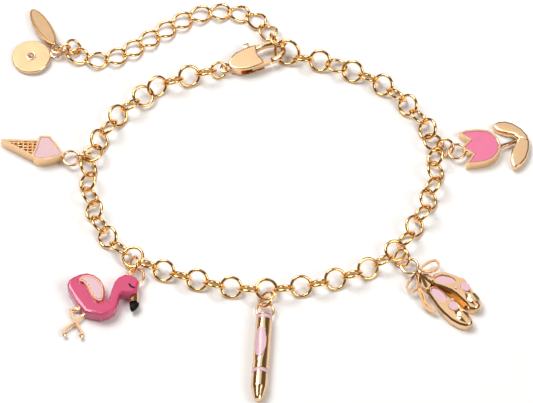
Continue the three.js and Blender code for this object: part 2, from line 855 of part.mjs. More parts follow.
const WING = [
  [
    [-0.775, -0.21],
    [-0.72, -0.145],
    [-0.65, -0.13],
    [-0.58, -0.16],
    [-0.51, -0.235],
    [-0.455, -0.34],
    [-0.44, -0.48],
    [-0.443, -0.62],
    [-0.456, -0.69],
    [-0.5, -0.725],
    [-0.54, -0.7],
    [-0.58, -0.63],
    [-0.615, -0.53],
    [-0.65, -0.39],
    [-0.685, -0.33],
    [-0.715, -0.28],
    [-0.76, -0.26],
  ],
];
const BEAK_TIP = [
  [
    [-0.078, -0.71],
    [-0.065, -0.79],
    [-0.04, -0.815],
    [0, -0.77],
    [0.04, -0.7],
    [0.06, -0.63],
  ],
  [[-0.083, -0.63]],
];
const NEAR_LEG = [
  [-0.66, -0.75],
  [-0.78, -0.745],
  [-0.9, -0.74],
  [-0.86, -0.9],
  [-0.8, -1.1],
  [-0.73, -1.3],
  [-0.745, -1.36],
];
const FAR_LEG = [
  [-0.64, -0.8],
  [-0.72, -0.88],
  [-0.8, -1],
  [-0.9, -1.12],
  [-0.99, -1.24],
  [-0.975, -1.33],
];
const EYE_ARC = [
  [-0.083, -0.29],
  [-0.062, -0.35],
  [-0.014, -0.38],
];
const WING_POST_AT = [-0.56, -0.36];

const flamingoAt = ([x, y], z) => [x * FLAMINGO_LENGTH, y * FLAMINGO_HEIGHT, z];

function flamingoLegs(radius) {
  const legs = [NEAR_LEG, FAR_LEG].map((leg) => {
    const points = leg.map((share) => flamingoAt(share, LEG_HEIGHT));
    const foot = bead(points.at(-1), [radius * 1.3, radius * 1.3, radius * 1.3], 8);
    return rod(points, radius, { steps: leg.length + 2, sides: 5 }).add(foot);
  });
  return join(legs);
}

function beakBase(grow) {
  const middle = flamingoAt([-0.02, -0.49], BEAK_HEIGHT);
  const half = BEAK_LENGTH / 2 + grow;
  const ends = [half, -half].map((reach) => [middle[0], middle[1] + reach, middle[2]]);
  return rod(ends, BEAK_RADIUS + grow, { steps: 1 });
}

function flamingo() {
  const group = new THREE.Group();
  const body = outline(FLAMINGO, FLAMINGO_LENGTH, FLAMINGO_HEIGHT, 1);
  const wing = outline(WING, FLAMINGO_LENGTH, FLAMINGO_HEIGHT, 1);
  const wingLow = FLAMINGO_THICK + INLAY_GAP;
  const wingHigh = wingLow + WING_THICK;
  const [postX, postY] = flamingoAt(WING_POST_AT, 0);
  const wingRim = inset(wing, WING_RIM);
  const wingPocket = plate(wingRim, wingHigh - WING_ENAMEL_DEEP, wingHigh + 1);
  const hollow = inset(body, CORE_INSET);
  const core = join([
    plate(inset(hollow, INLAY_GAP), 0, CORE_THICK),
    upright(postX, postY, WING_POST, CORE_THICK - 0.1, wingLow + 0.1, 12),
    plate(wing, wingLow, wingHigh),
    flamingoLegs(LEG_RADIUS),
    beakBase(0),
    charmLoop(),
  ]);
  group.add(piece("flamingo_casting", core.subtract(wingPocket), polishedGold()));
  const skin = pillow(body, FLAMINGO_LIFT, FLAMINGO_THICK, FLAMINGO_EDGE);
  const room = join([
    plate(hollow, -1, CORE_THICK + INLAY_GAP),
    upright(postX, postY, WING_POST + INLAY_GAP, 0, FLAMINGO_THICK + 1, 12),
    flamingoLegs(LEG_RADIUS + 2 * INLAY_GAP),
    beakBase(INLAY_GAP),
    charmLoop(LOOP_HEIGHT, 2 * INLAY_GAP),
    eyeLine(INLAY_GAP, FLAMINGO_THICK - EYE_DEEP - INLAY_GAP, FLAMINGO_THICK + 1),
  ]);
  group.add(piece("flamingo_enamel", skin.subtract(room), hotPinkEnamel()));
  const wingBed = wingHigh - WING_ENAMEL_DEEP + INLAY_GAP;
  const wingInlay = plate(inset(wingRim, INLAY_GAP), wingBed, wingHigh + INLAY_GAP);
  group.add(piece("flamingo_wing", wingInlay, palePinkEnamel()));
  const eyeHigh = FLAMINGO_THICK + INLAY_GAP;
  group.add(piece("flamingo_eye", eyeLine(0, FLAMINGO_THICK - EYE_DEEP, eyeHigh), blackEnamel()));
  const tip = outline(BEAK_TIP, FLAMINGO_LENGTH, FLAMINGO_HEIGHT, 1);
  group.add(piece("flamingo_beak_tip", pillow(tip, 0.55, 1.65, 0.25, 1), blackEnamel()));
  return group;
}

function eyeLine(grow, low, high) {
  const middle = EYE_ARC.map((share) => new THREE.Vector2(...flamingoAt(share, 0)));
  const arc = new THREE.SplineCurve(middle).getPoints(4);
  const ahead = arc.map((p, i) => (arc[i + 1] ?? p).clone().sub(arc[i - 1] ?? p).normalize());
  arc[0].addScaledVector(ahead[0], -grow);
  arc.at(-1).addScaledVector(ahead.at(-1), grow);
  const half = EYE_LINE / 2 + grow;
  const edge = (side) =>
    arc.map((p, i) => new THREE.Vector2(p.x - side * ahead[i].y, p.y + side * ahead[i].x));
  return plate([...edge(-half), ...edge(half).reverse()], low, high);
}

// Crayon: a turned barrel along X, lying on its side, with two enamel bands and an oval label
function turned(profile, sides = 14) {
  const points = profile.map(([x, radius]) => new THREE.Vector2(radius, x));
  const lathe = new THREE.LatheGeometry(points, sides);
  return solidOf(lathe.rotateZ(-Math.PI / 2).translate(0, 0, CRAYON_RADIUS));
}

function band(middle, inner, outer, width) {
  const [rear, front] = [middle - width / 2, middle + width / 2];
  return turned([
    [rear, inner],
    [rear, outer],
    [front, outer],
    [front, inner],
    [rear, inner],
  ]);
}

function label(grow, inner, outer) {
  const oval = new THREE.EllipseCurve(0, 0, LABEL_LENGTH / 2 + grow, LABEL_WIDTH / 2 + grow);
  const drum = band(LABEL_CENTRE, inner, outer, LABEL_LENGTH + 1);
  const column = plate(oval.getPoints(20).slice(0, 20), 0.2, 2 * CRAYON_RADIUS);
  const lean = new THREE.Matrix4().makeRotationX(radians(LABEL_LEAN));
  lean.premultiply(new THREE.Matrix4().makeTranslation(LABEL_CENTRE, 0, CRAYON_RADIUS));
  return column.transform(lean.elements).intersect(drum);
}

function crayon() {
  const group = new THREE.Group();
  const shoulder = CRAYON_RADIUS * 0.93;
  const barrel = turned([
    [CRAYON_START, 0],
    [CRAYON_START, CRAYON_RADIUS * 0.9],
    [CRAYON_START + 0.15, CRAYON_RADIUS],
    [CRAYON_SHOULDER, CRAYON_RADIUS],
    [CRAYON_SHOULDER + 0.15, shoulder],
    [CRAYON_LENGTH - 0.75, CRAYON_NOSE],
    [CRAYON_LENGTH - 0.15, CRAYON_NOSE * 0.75],
    [CRAYON_LENGTH, 0],
  ]);
  const bed = CRAYON_RADIUS - BAND_DEEP;
  const grooves = [UPPER_BAND, LOWER_BAND].map((x) => band(x, bed, CRAYON_RADIUS + 1, BAND_WIDTH));
  const labelBed = label(INLAY_GAP, CRAYON_RADIUS - BAND_DEEP, CRAYON_RADIUS + 1);
  const neck = block([1, CRAYON_START + 0.3], [-0.6, 0.6], [CRAYON_RADIUS - 0.5, CRAYON_RADIUS + 0.5]);
  const body = join([barrel, neck, charmLoop()]).subtract(join([...grooves, labelBed]));
  group.add(piece("crayon_charm", body, polishedGold()));
  [["crayon_band_upper", UPPER_BAND], ["crayon_band_lower", LOWER_BAND]].forEach(([name, x]) => {
    const width = BAND_WIDTH - 2 * INLAY_GAP;
    const enamel = band(x, bed + INLAY_GAP, CRAYON_RADIUS, width);
    group.add(piece(name, enamel, palePinkEnamel()));
  });
  const oval = label(0, CRAYON_RADIUS - BAND_DEEP + INLAY_GAP, CRAYON_RADIUS + LABEL_PROUD);
  group.add(piece("crayon_label", oval, palePinkEnamel()));
  return group;
}

// Ballet slippers: two slippers side by side under a ribbon bow. X is to the right of the loop.
const UPPER_SLIPPER = [
  [
    [0.308, -0.23],
    [0.345, -0.155],
    [0.43, -0.123],
    [0.53, -0.13],
    [0.615, -0.163],
    [0.7, -0.205],
    [0.76, -0.222],
    [0.8, -0.255],
    [0.82, -0.31],
    [0.868, -0.39],
    [0.933, -0.49],
    [0.975, -0.585],
    [0.997, -0.65],
    [0.972, -0.715],
    [0.905, -0.74],
    [0.832, -0.722],
    [0.79, -0.635],
    [0.717, -0.553],
    [0.646, -0.48],
    [0.574, -0.425],
    [0.5, -0.39],
    [0.44, -0.365],
    [0.37, -0.342],
    [0.315, -0.305],
  ],
];
const LOWER_SLIPPER = [
  [
    [0.258, -0.385],
    [0.33, -0.345],
    [0.416, -0.375],
    [0.474, -0.423],
    [0.53, -0.488],
    [0.589, -0.553],
    [0.66, -0.61],
    [0.717, -0.675],
    [0.775, -0.724],
    [0.818, -0.78],
    [0.872, -0.89],
    [0.88, -0.945],
    [0.845, -0.99],
    [0.775, -0.999],
    [0.69, -0.975],
    [0.574, -0.902],
    [0.474, -0.797],
    [0.388, -0.69],
    [0.316, -0.57],
    [0.258, -0.472],
  ],
];
const UPPER_INSOLE = [
  [
    [0.345, -0.23],
    [0.38, -0.193],
    [0.46, -0.172],
    [0.56, -0.193],
    [0.63, -0.233],
    [0.66, -0.275],
    [0.64, -0.31],
    [0.56, -0.332],
    [0.46, -0.322],
    [0.375, -0.285],
  ],
];
const LOWER_INSOLE = [
  [
    [0.298, -0.388],
    [0.345, -0.372],
    [0.415, -0.4],
    [0.485, -0.468],
    [0.53, -0.54],
    [0.52, -0.61],
    [0.445, -0.622],
    [0.375, -0.582],
    [0.32, -0.505],
    [0.296, -0.44],
  ],
];
const WEB = [
  [[0.33, -0.33]],
  [[0.62, -0.45]],
  [[0.78, -0.62]],
  [[0.74, -0.7]],
  [[0.55, -0.53]],
  [[0.3, -0.4]],
];
const FAN = [
  [[0.12, -0.12]],
  [[0.115, -0.26]],
  [[0.237, -0.39]],
  [[0.27, -0.37]],
  [[0.33, -0.25]],
  [[0.32, -0.19]],
  [[0.26, -0.14]],
];
const HIGH_BOW = [
  [0.15, -0.08],
  [0.287, 0.05],
  [0.373, 0.072],
  [0.423, 0.007],
  [0.409, -0.05],
  [0.344, -0.098],
  [0.215, -0.106],
];
const LOW_BOW = [
  [0.09, -0.13],
  [0.02, -0.22],
  [-0.045, -0.31],
  [-0.036, -0.39],
  [0.015, -0.423],
  [0.072, -0.407],
  [0.1, -0.35],
  [0.105, -0.23],
];
const OUTER_TAIL = [
  [0.1, -0.37],
  [0.15, -0.47],
  [0.172, -0.57],
  [0.208, -0.65],
  [0.287, -0.724],
  [0.35, -0.745],
];
const INNER_TAIL = [
  [0.135, -0.36],
  [0.195, -0.46],
  [0.21, -0.55],
  [0.25, -0.635],
  [0.305, -0.7],
  [0.35, -0.74],
];
const UPPER_TOE = { centre: [0.79, -0.382], vamp: [0.66, -0.392], cap: [0.88, -0.56], turn: -58 };
const LOWER_TOE = { centre: [0.61, -0.69], vamp: [0.6, -0.585], cap: [0.73, -0.84], turn: -52 };

const slipperAt = ([x, y], z) => [x * SLIPPERS_LENGTH, y * SLIPPERS_DEPTH, z];

function toeSpot({ centre, turn }, grow, low, high) {
  const oval = new THREE.EllipseCurve(0, 0, TOE_SPOT_LONG + grow, TOE_SPOT_WIDE + grow);
  const place = new THREE.Matrix4().makeRotationZ(radians(turn)).setPosition(...slipperAt(centre, 0));
  return plate(oval.getPoints(16).slice(0, 16), low, high).transform(place.elements);
}

function toeCap({ cap, turn }) {
  const dome = bead([0, 0, 0], [TOE_LONG, TOE_WIDE, TOE_RISE + TOE_SUNK], 10);
  const level = SLIPPER_THICK - TOE_SUNK;
  const place = new THREE.Matrix4().makeRotationZ(radians(turn)).setPosition(...slipperAt(cap, level));
  return dome.transform(place.elements);
}

function bow() {
  const ribbon = (shares, z) => rod(
    shares.map((share) => slipperAt(share, z)),
    RIBBON_RADIUS,
    { steps: shares.length + 3, sides: 5, closed: true },
  );
  const tail = (shares, z) => rod(
    shares.map((share) => slipperAt(share, z)),
    RIBBON_RADIUS,
    { steps: 6, sides: 5 },
  );
  const seat = heading(KNOT_HEADING).multiplyScalar(CHARM_LOOP_OUTER / 2 + KNOT_SEAT);
  const knot = bead([seat.x, seat.y, LOOP_HEIGHT + 0.35], [KNOT_RADIUS, 0.5, KNOT_RADIUS], 8);
  return join([
    ribbon(HIGH_BOW, LOOP_HEIGHT + 0.35),
    ribbon(LOW_BOW, LOOP_HEIGHT + 0.2),
    tail(OUTER_TAIL, LOOP_HEIGHT),
    tail(INNER_TAIL, LOOP_HEIGHT),
    knot,
    ribbonFan(),
  ]);
}

// The gathered ribbon below the knot: a plate with pleats that spread from it
function ribbonFan() {
  const fan = outline(FAN, SLIPPERS_LENGTH, SLIPPERS_DEPTH);
  const base = plate(fan, 0, FAN_THICK - PLEAT);
  const spread = [-112, -90, -68, -46].map((turn) => {
    const tip = heading(turn).multiplyScalar(0.24 * SLIPPERS_DEPTH);
    const [x, y, z] = slipperAt([0.14, -0.12], FAN_THICK - PLEAT);
    return rod([[x, y, z], [x + tip.x, y + tip.y, z]], PLEAT, { steps: 1, sides: 4 });
  });
  return base.add(join(spread).intersect(plate(fan, 0.5, FAN_THICK + 1)));
}

function slippers() {
  const group = new THREE.Group();
  const shape = (runs) => outline(runs, SLIPPERS_LENGTH, SLIPPERS_DEPTH, 1);
  const shoes = [UPPER_SLIPPER, LOWER_SLIPPER].map((runs) =>
    pillow(shape(runs), 0, SLIPPER_THICK, SLIPPER_EDGE, 1),
  );
  const web = plate(shape(WEB), 0.2, SLIPPER_THICK * 0.45);
  const toes = [UPPER_TOE, LOWER_TOE];
  const whole = join([...shoes, web, ...toes.map(toeCap), bow(), charmLoop()]);
  const insoles = [UPPER_INSOLE, LOWER_INSOLE].map(shape);
  const bed = SLIPPER_THICK - INSOLE_DEEP;
  const spotLow = SLIPPER_THICK - SPOT_DEEP;
  const spotHigh = SLIPPER_THICK + 0.15;
  const pockets = join([
    ...insoles.map((points) => plate(points, bed, SLIPPER_THICK + 2)),
    ...toes.map((toe) => toeSpot(toe, 0, spotLow, SLIPPER_THICK + 2)),
    ...toes.map(({ vamp }) => vampSpot(vamp, 0, spotLow, SLIPPER_THICK + 2)),
  ]);
  group.add(piece("slippers_charm", whole.subtract(pockets), polishedGold()));
  ["upper", "lower"].forEach((side, i) => {
    const insole = plate(inset(insoles[i], INLAY_GAP), bed + INLAY_GAP, bed + INSOLE_THICK);
    const toe = toeSpot(toes[i], -INLAY_GAP, spotLow + INLAY_GAP, spotHigh);
    const spot = vampSpot(toes[i].vamp, -INLAY_GAP, spotLow + INLAY_GAP, spotHigh);
    group.add(piece("slipper_insole_" + side, insole, palePinkEnamel()));
    group.add(piece("slipper_toe_" + side, toe, palePinkEnamel()));
    group.add(piece("slipper_spot_" + side, spot, palePinkEnamel()));
  });
  return group;
}

function vampSpot(share, grow, low, high) {
  const [x, y] = slipperAt(share, 0);
  return upright(x, y, BOW_SPOT_RADIUS + grow, low, high, 10);
}

// Tulip: an enamelled cup with three points, a stem and two leaves, with X from the loop to the leaves
const CUP = [
  [
    [0.168, 0.38],
    [0.33, 0.374],
    [0.465, 0.329],
    [0.544, 0.234],
    [0.588, 0.114],
    [0.597, -0.022],
    [0.564, -0.15],
    [0.477, -0.271],
    [0.364, -0.325],
    [0.213, -0.332],
    [0.084, -0.322],
  ],
  [[0.204, -0.13]],
  [[0.072, 0.038]],
  [[0.194, 0.179]],
  [[0.062, 0.346]],
];
const STEM = [
  [0.57, 0],
  [0.7, 0.045],
  [0.86, 0.11],
];
const HIGH_LEAF = [
  [
    [0.61, 0.5],
    [0.72, 0.5],
    [0.82, 0.435],
    [0.918, 0.314],
    [0.982, 0.17],
    [1, 0.036],
  ],
  [
    [0.93, 0.03],
    [0.86, 0.1],
  ],
  [
    [0.8, 0.189],
    [0.696, 0.237],
    [0.594, 0.31],
    [0.529, 0.436],
  ],
];
const LOW_LEAF = [
  [
    [0.93, 0.15],
    [1, 0.036],
    [0.975, -0.143],
    [0.916, -0.318],
    [0.83, -0.438],
    [0.748, -0.493],
    [0.704, -0.462],
    [0.696, -0.302],
    [0.727, -0.14],
    [0.782, 0.002],
    [0.87, 0.14],
  ],
];

function tulip() {
  const group = new THREE.Group();
  const shape = (runs) => outline(runs, TULIP_LENGTH, TULIP_WIDTH, 1);
  const cup = shape(CUP);
  const stem = STEM.map(([x, y]) => [x * TULIP_LENGTH, y * TULIP_WIDTH, TULIP_THICK / 2]);
  const low = TULIP_THICK - TULIP_ENAMEL_DEEP;
  const whole = join([
    plate(cup, 0, TULIP_THICK),
    rod(stem, STEM_WIDTH / 2, { steps: 4 }),
    pillow(shape(HIGH_LEAF), 0.1, LEAF_THICK, LEAF_EDGE),
    pillow(shape(LOW_LEAF), 0.1, LEAF_THICK, LEAF_EDGE),
    charmLoop(),
  ]);
  const rim = inset(cup, TULIP_RIM);
  const pocket = plate(rim, low, TULIP_THICK + 1);
  const enamel = plate(inset(rim, INLAY_GAP), low + INLAY_GAP, TULIP_THICK);
  group.add(piece("tulip_charm", whole.subtract(pocket), polishedGold()));
  group.add(piece("tulip_enamel", enamel, pinkEnamel()));
  return group;
}

// Tags at the end of the extender: X runs from the loop to the far end
const tagLoopReach = TAG_LOOP_OUTER / 2;

function tagLoop() {
  const loop = wireLoop({ long: middleOf(TAG_LOOP_OUTER, TAG_LOOP_WIRE), wire: TAG_LOOP_WIRE });
  return solidOf(loop);
}

function ellipse(centreX, long, wide, count = 26) {
  return new THREE.EllipseCurve(centreX, 0, long / 2, wide / 2).getPoints(count).slice(0, count);
}

function ovalTag() {
  const half = OVAL_TAG_THICK / 2;
  const centre = tagLoopReach + OVAL_TAG_LENGTH / 2 - TAG_OVERLAP;
  const face = ellipse(centre, OVAL_TAG_LENGTH, OVAL_TAG_WIDTH);
  const solid = pillow(face, -half, half, TAG_EDGE, 1).add(tagLoop());
  return piece("oval_tag", solid, polishedGold());
}

const stoneX = tagLoopReach + ROUND_TAG_DIAMETER / 2 - TAG_OVERLAP / 2;

function roundTag() {
  const half = ROUND_TAG_THICK / 2;
  const disc = ellipse(stoneX, ROUND_TAG_DIAMETER, ROUND_TAG_DIAMETER);
  const bezelRadius = STONE_DIAMETER / 2 + INLAY_GAP;
  const solid = join([
    pillow(disc, -half, half, TAG_EDGE, 1),
    tagLoop(),
    upright(stoneX, 0, bezelRadius + BEZEL_WALL, 0, half + BEZEL_PROUD, 16),
  ]);
  const seat = upright(stoneX, 0, bezelRadius, half - STONE_SEAT_DEEP, half + 1, 16);
  return piece("round_tag", solid.subtract(seat), polishedGold());
}

// The cut crystal: a table, a crown of eight main facets, a girdle and a flat back
function stone() {
  const half = ROUND_TAG_THICK / 2;
  const girdle = half + BEZEL_PROUD - 0.08;
  const radius = STONE_DIAMETER / 2;
  const back = half - STONE_SEAT_DEEP + INLAY_GAP;
  const profile = [
    [0, back],
    [radius * 0.8, back],
    [radius, girdle - 0.1],
    [radius, girdle],
    [radius * STONE_TABLE, girdle + STONE_PROUD],
    [0, girdle + STONE_PROUD],
  ];
  const points = profile.map(([r, z]) => new THREE.Vector2(r, z));
  const cut = new THREE.LatheGeometry(points, 8).rotateX(Math.PI / 2);
  return piece("round_tag_stone", solidOf(cut.translate(stoneX, 0, 0)), pinkCrystal());
}

function tagGroup(place, headingAngle, fall, meshes) {
  const group = new THREE.Group();
  group.add(...meshes);
  group.position.set(...place);
  group.rotation.set(0, radians(fall), radians(headingAngle), "ZYX");
  return group;
}

// The bracelet
const bracelet = new THREE.Group();
bracelet.add(mainChain(), extenderChain());
clasp.add(claspBody(), claspLever());
bracelet.add(clasp, ringPiece("clasp_ring", claspRing), ringPiece("end_ring", endRing));
const charmNumber = (steps) => middleLink + steps * CHARM_SPACING;
bracelet.add(...hang("ice_cream", charmNumber(-2), iceCream));
bracelet.add(...hang("flamingo", charmNumber(-1), flamingo));
bracelet.add(...hang("crayon", charmNumber(0), crayon));
bracelet.add(...hang("slippers", charmNumber(1), slippers));
bracelet.add(...hang("tulip", charmNumber(2), tulip));
const tagRing = leaningRing(TAG_RING, TAG_RING_OUTER, RING_WIRE, TAG_RING_TILT, TAG_RING_LOW);
const tagLink = leaningRing(TAG_LINK, TAG_LINK_OUTER, TAG_LINK_WIRE, TAG_LINK_TILT, TAG_LINK_LOW);
bracelet.add(ringPiece("tag_ring", tagRing), ringPiece("tag_link", tagLink));
bracelet.add(tagGroup(OVAL_TAG_AT, OVAL_TAG_HEADING, OVAL_TAG_FALL, [ovalTag()]));
bracelet.add(tagGroup(ROUND_TAG_AT, ROUND_TAG_HEADING, ROUND_TAG_FALL, [roundTag(), stone()]));

// The origin is under the middle of the whole
bracelet.updateMatrixWorld(true);
const whole = new THREE.Box3().setFromObject(bracelet, true);
const middle = whole.getCenter(new THREE.Vector3());
bracelet.position.set(-middle.x, -middle.y, -whole.min.z);

export default bracelet;
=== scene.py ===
"""Looks of a gold charm bracelet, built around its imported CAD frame.

The object lies on the floor with +Z up, and every length below is in millimetres until a mesh is
scaled to metres at the end of its making.
"""

import json
import logging
import math
from dataclasses import dataclass, field
from enum import Enum

import bmesh
import bpy
import numpy as np
from mathutils import Matrix, Vector

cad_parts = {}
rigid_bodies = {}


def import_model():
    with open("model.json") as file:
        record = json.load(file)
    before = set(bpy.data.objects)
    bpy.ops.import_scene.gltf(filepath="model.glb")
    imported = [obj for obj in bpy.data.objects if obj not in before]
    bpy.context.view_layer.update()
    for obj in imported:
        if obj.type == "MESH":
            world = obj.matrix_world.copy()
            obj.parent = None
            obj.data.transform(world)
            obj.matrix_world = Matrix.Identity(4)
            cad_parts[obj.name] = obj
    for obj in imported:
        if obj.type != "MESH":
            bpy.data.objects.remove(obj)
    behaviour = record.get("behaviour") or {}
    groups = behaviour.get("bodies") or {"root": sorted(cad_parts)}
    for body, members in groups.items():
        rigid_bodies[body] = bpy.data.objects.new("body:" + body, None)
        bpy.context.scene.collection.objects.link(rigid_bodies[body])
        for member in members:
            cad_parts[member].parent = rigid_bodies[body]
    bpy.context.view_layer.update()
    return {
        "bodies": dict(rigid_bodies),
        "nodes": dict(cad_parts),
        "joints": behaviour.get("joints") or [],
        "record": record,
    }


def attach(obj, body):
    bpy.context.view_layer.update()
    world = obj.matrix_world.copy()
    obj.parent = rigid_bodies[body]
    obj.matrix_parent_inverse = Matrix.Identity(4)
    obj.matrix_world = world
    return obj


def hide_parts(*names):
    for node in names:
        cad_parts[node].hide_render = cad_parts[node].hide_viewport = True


LOG = logging.getLogger("bracelet")
MM = 0.001
BODY = "bracelet"
LEVER_BODY = "lever"
PLAY = 0.25
RING_LIFT = 0.03
RING_WIRE = 0.46
TAG_LINK_WIRE = 0.38
ORIGIN_SHIFT = Vector((0.1669473, 0.5562209, 0.0))
FINE_EDGE = 0.03
MERGE = 1e-5
SMOOTH_ALL = 180.0
WAFFLE_FLOOR = (1.4, 1.55)
SLIPPERS_FLOOR = (0.8, 0.9)


class Slot(Enum):
    """The record's material slots."""

    GOLD = "gold"
    PALE = "pale_pink_enamel"
    PINK = "pink_enamel"
    HOT_PINK = "hot_pink_enamel"
    BLACK = "black_enamel"
    CRYSTAL = "pink_crystal"


@dataclass(frozen=True)
class Finish:
    """One surface finish and the small variation that it shows."""

    name: str
    slot: Slot
    color: tuple[float, float, float]
    shade: tuple[float, float, float]
    metallic: float
    roughness: float
    spread: float
    grain: float
    bump: float
    coat: float = 0.0
    transmission: float = 0.0
    gloss: float = 0.5
    streak: tuple[float, float, float] | None = None


GOLD = Finish(
    "polished_gold",
    Slot.GOLD,
    color=(0.98, 0.67, 0.31),
    shade=(0.86, 0.47, 0.15),
    metallic=1.0,
    roughness=0.08,
    spread=0.09,
    grain=900.0,
    bump=0.05,
)
CAST_GOLD = Finish(
    "cast_gold",
    Slot.GOLD,
    color=(0.9, 0.62, 0.37),
    shade=(0.85, 0.54, 0.29),
    metallic=1.0,
    roughness=0.14,
    spread=0.1,
    grain=600.0,
    bump=0.08,
)
# Dark gold that paints shade where shade falls: on the ice cream's waffle pockets, the slippers'
# low faces and the oval tag's engraved line.
PAINTED_SHADE_GOLD = Finish(
    "painted_shade_gold",
    Slot.GOLD,
    color=(0.5, 0.24, 0.05),
    shade=(0.32, 0.13, 0.02),
    metallic=1.0,
    roughness=0.3,
    spread=0.15,
    grain=900.0,
    bump=0.1,
)
PALE = Finish(
    "pale_pink",
    Slot.PALE,
    color=(0.8, 0.53, 0.6),
    shade=(0.75, 0.47, 0.54),
    metallic=0.0,
    roughness=0.2,
    spread=0.1,
    grain=500.0,
    bump=0.04,
    coat=0.4,
)
SWIRL = Finish(
    "swirled_pink",
    Slot.PALE,
    color=(0.8, 0.53, 0.61),
    shade=(0.74, 0.46, 0.54),
    metallic=0.0,
    roughness=0.2,
    spread=0.1,
    grain=500.0,
    bump=0.04,
    coat=0.4,
    streak=(0.76, 0.53, 0.42),
)
PINK = Finish(
    "pink",
    Slot.PINK,
    color=(0.85, 0.2, 0.36),
    shade=(0.79, 0.16, 0.31),
    metallic=0.0,
    roughness=0.18,
    spread=0.08,
    grain=500.0,
    bump=0.04,
    coat=0.4,
)
HOT_PINK = Finish(
    "hot_pink",
    Slot.HOT_PINK,
    color=(0.7, 0.065, 0.19),
    shade=(0.6, 0.04, 0.14),
    metallic=0.0,
    roughness=0.15,
    spread=0.1,
    grain=420.0,
    bump=0.05,
    coat=0.6,
)
BLACK = Finish(
    "black",
    Slot.BLACK,
    color=(0.002, 0.002, 0.002),
    shade=(0.005, 0.004, 0.004),
    metallic=0.0,
    roughness=0.35,
    spread=0.1,
    grain=500.0,
    bump=0.03,
    gloss=0.12,
)
CRYSTAL = Finish(
    "crystal",
    Slot.CRYSTAL,
    color=(0.95, 0.72, 0.76),
    shade=(0.95, 0.66, 0.72),
    metallic=0.0,
    roughness=0.03,
    spread=0.02,
    grain=500.0,
    bump=0.0,
    transmission=0.7,
)


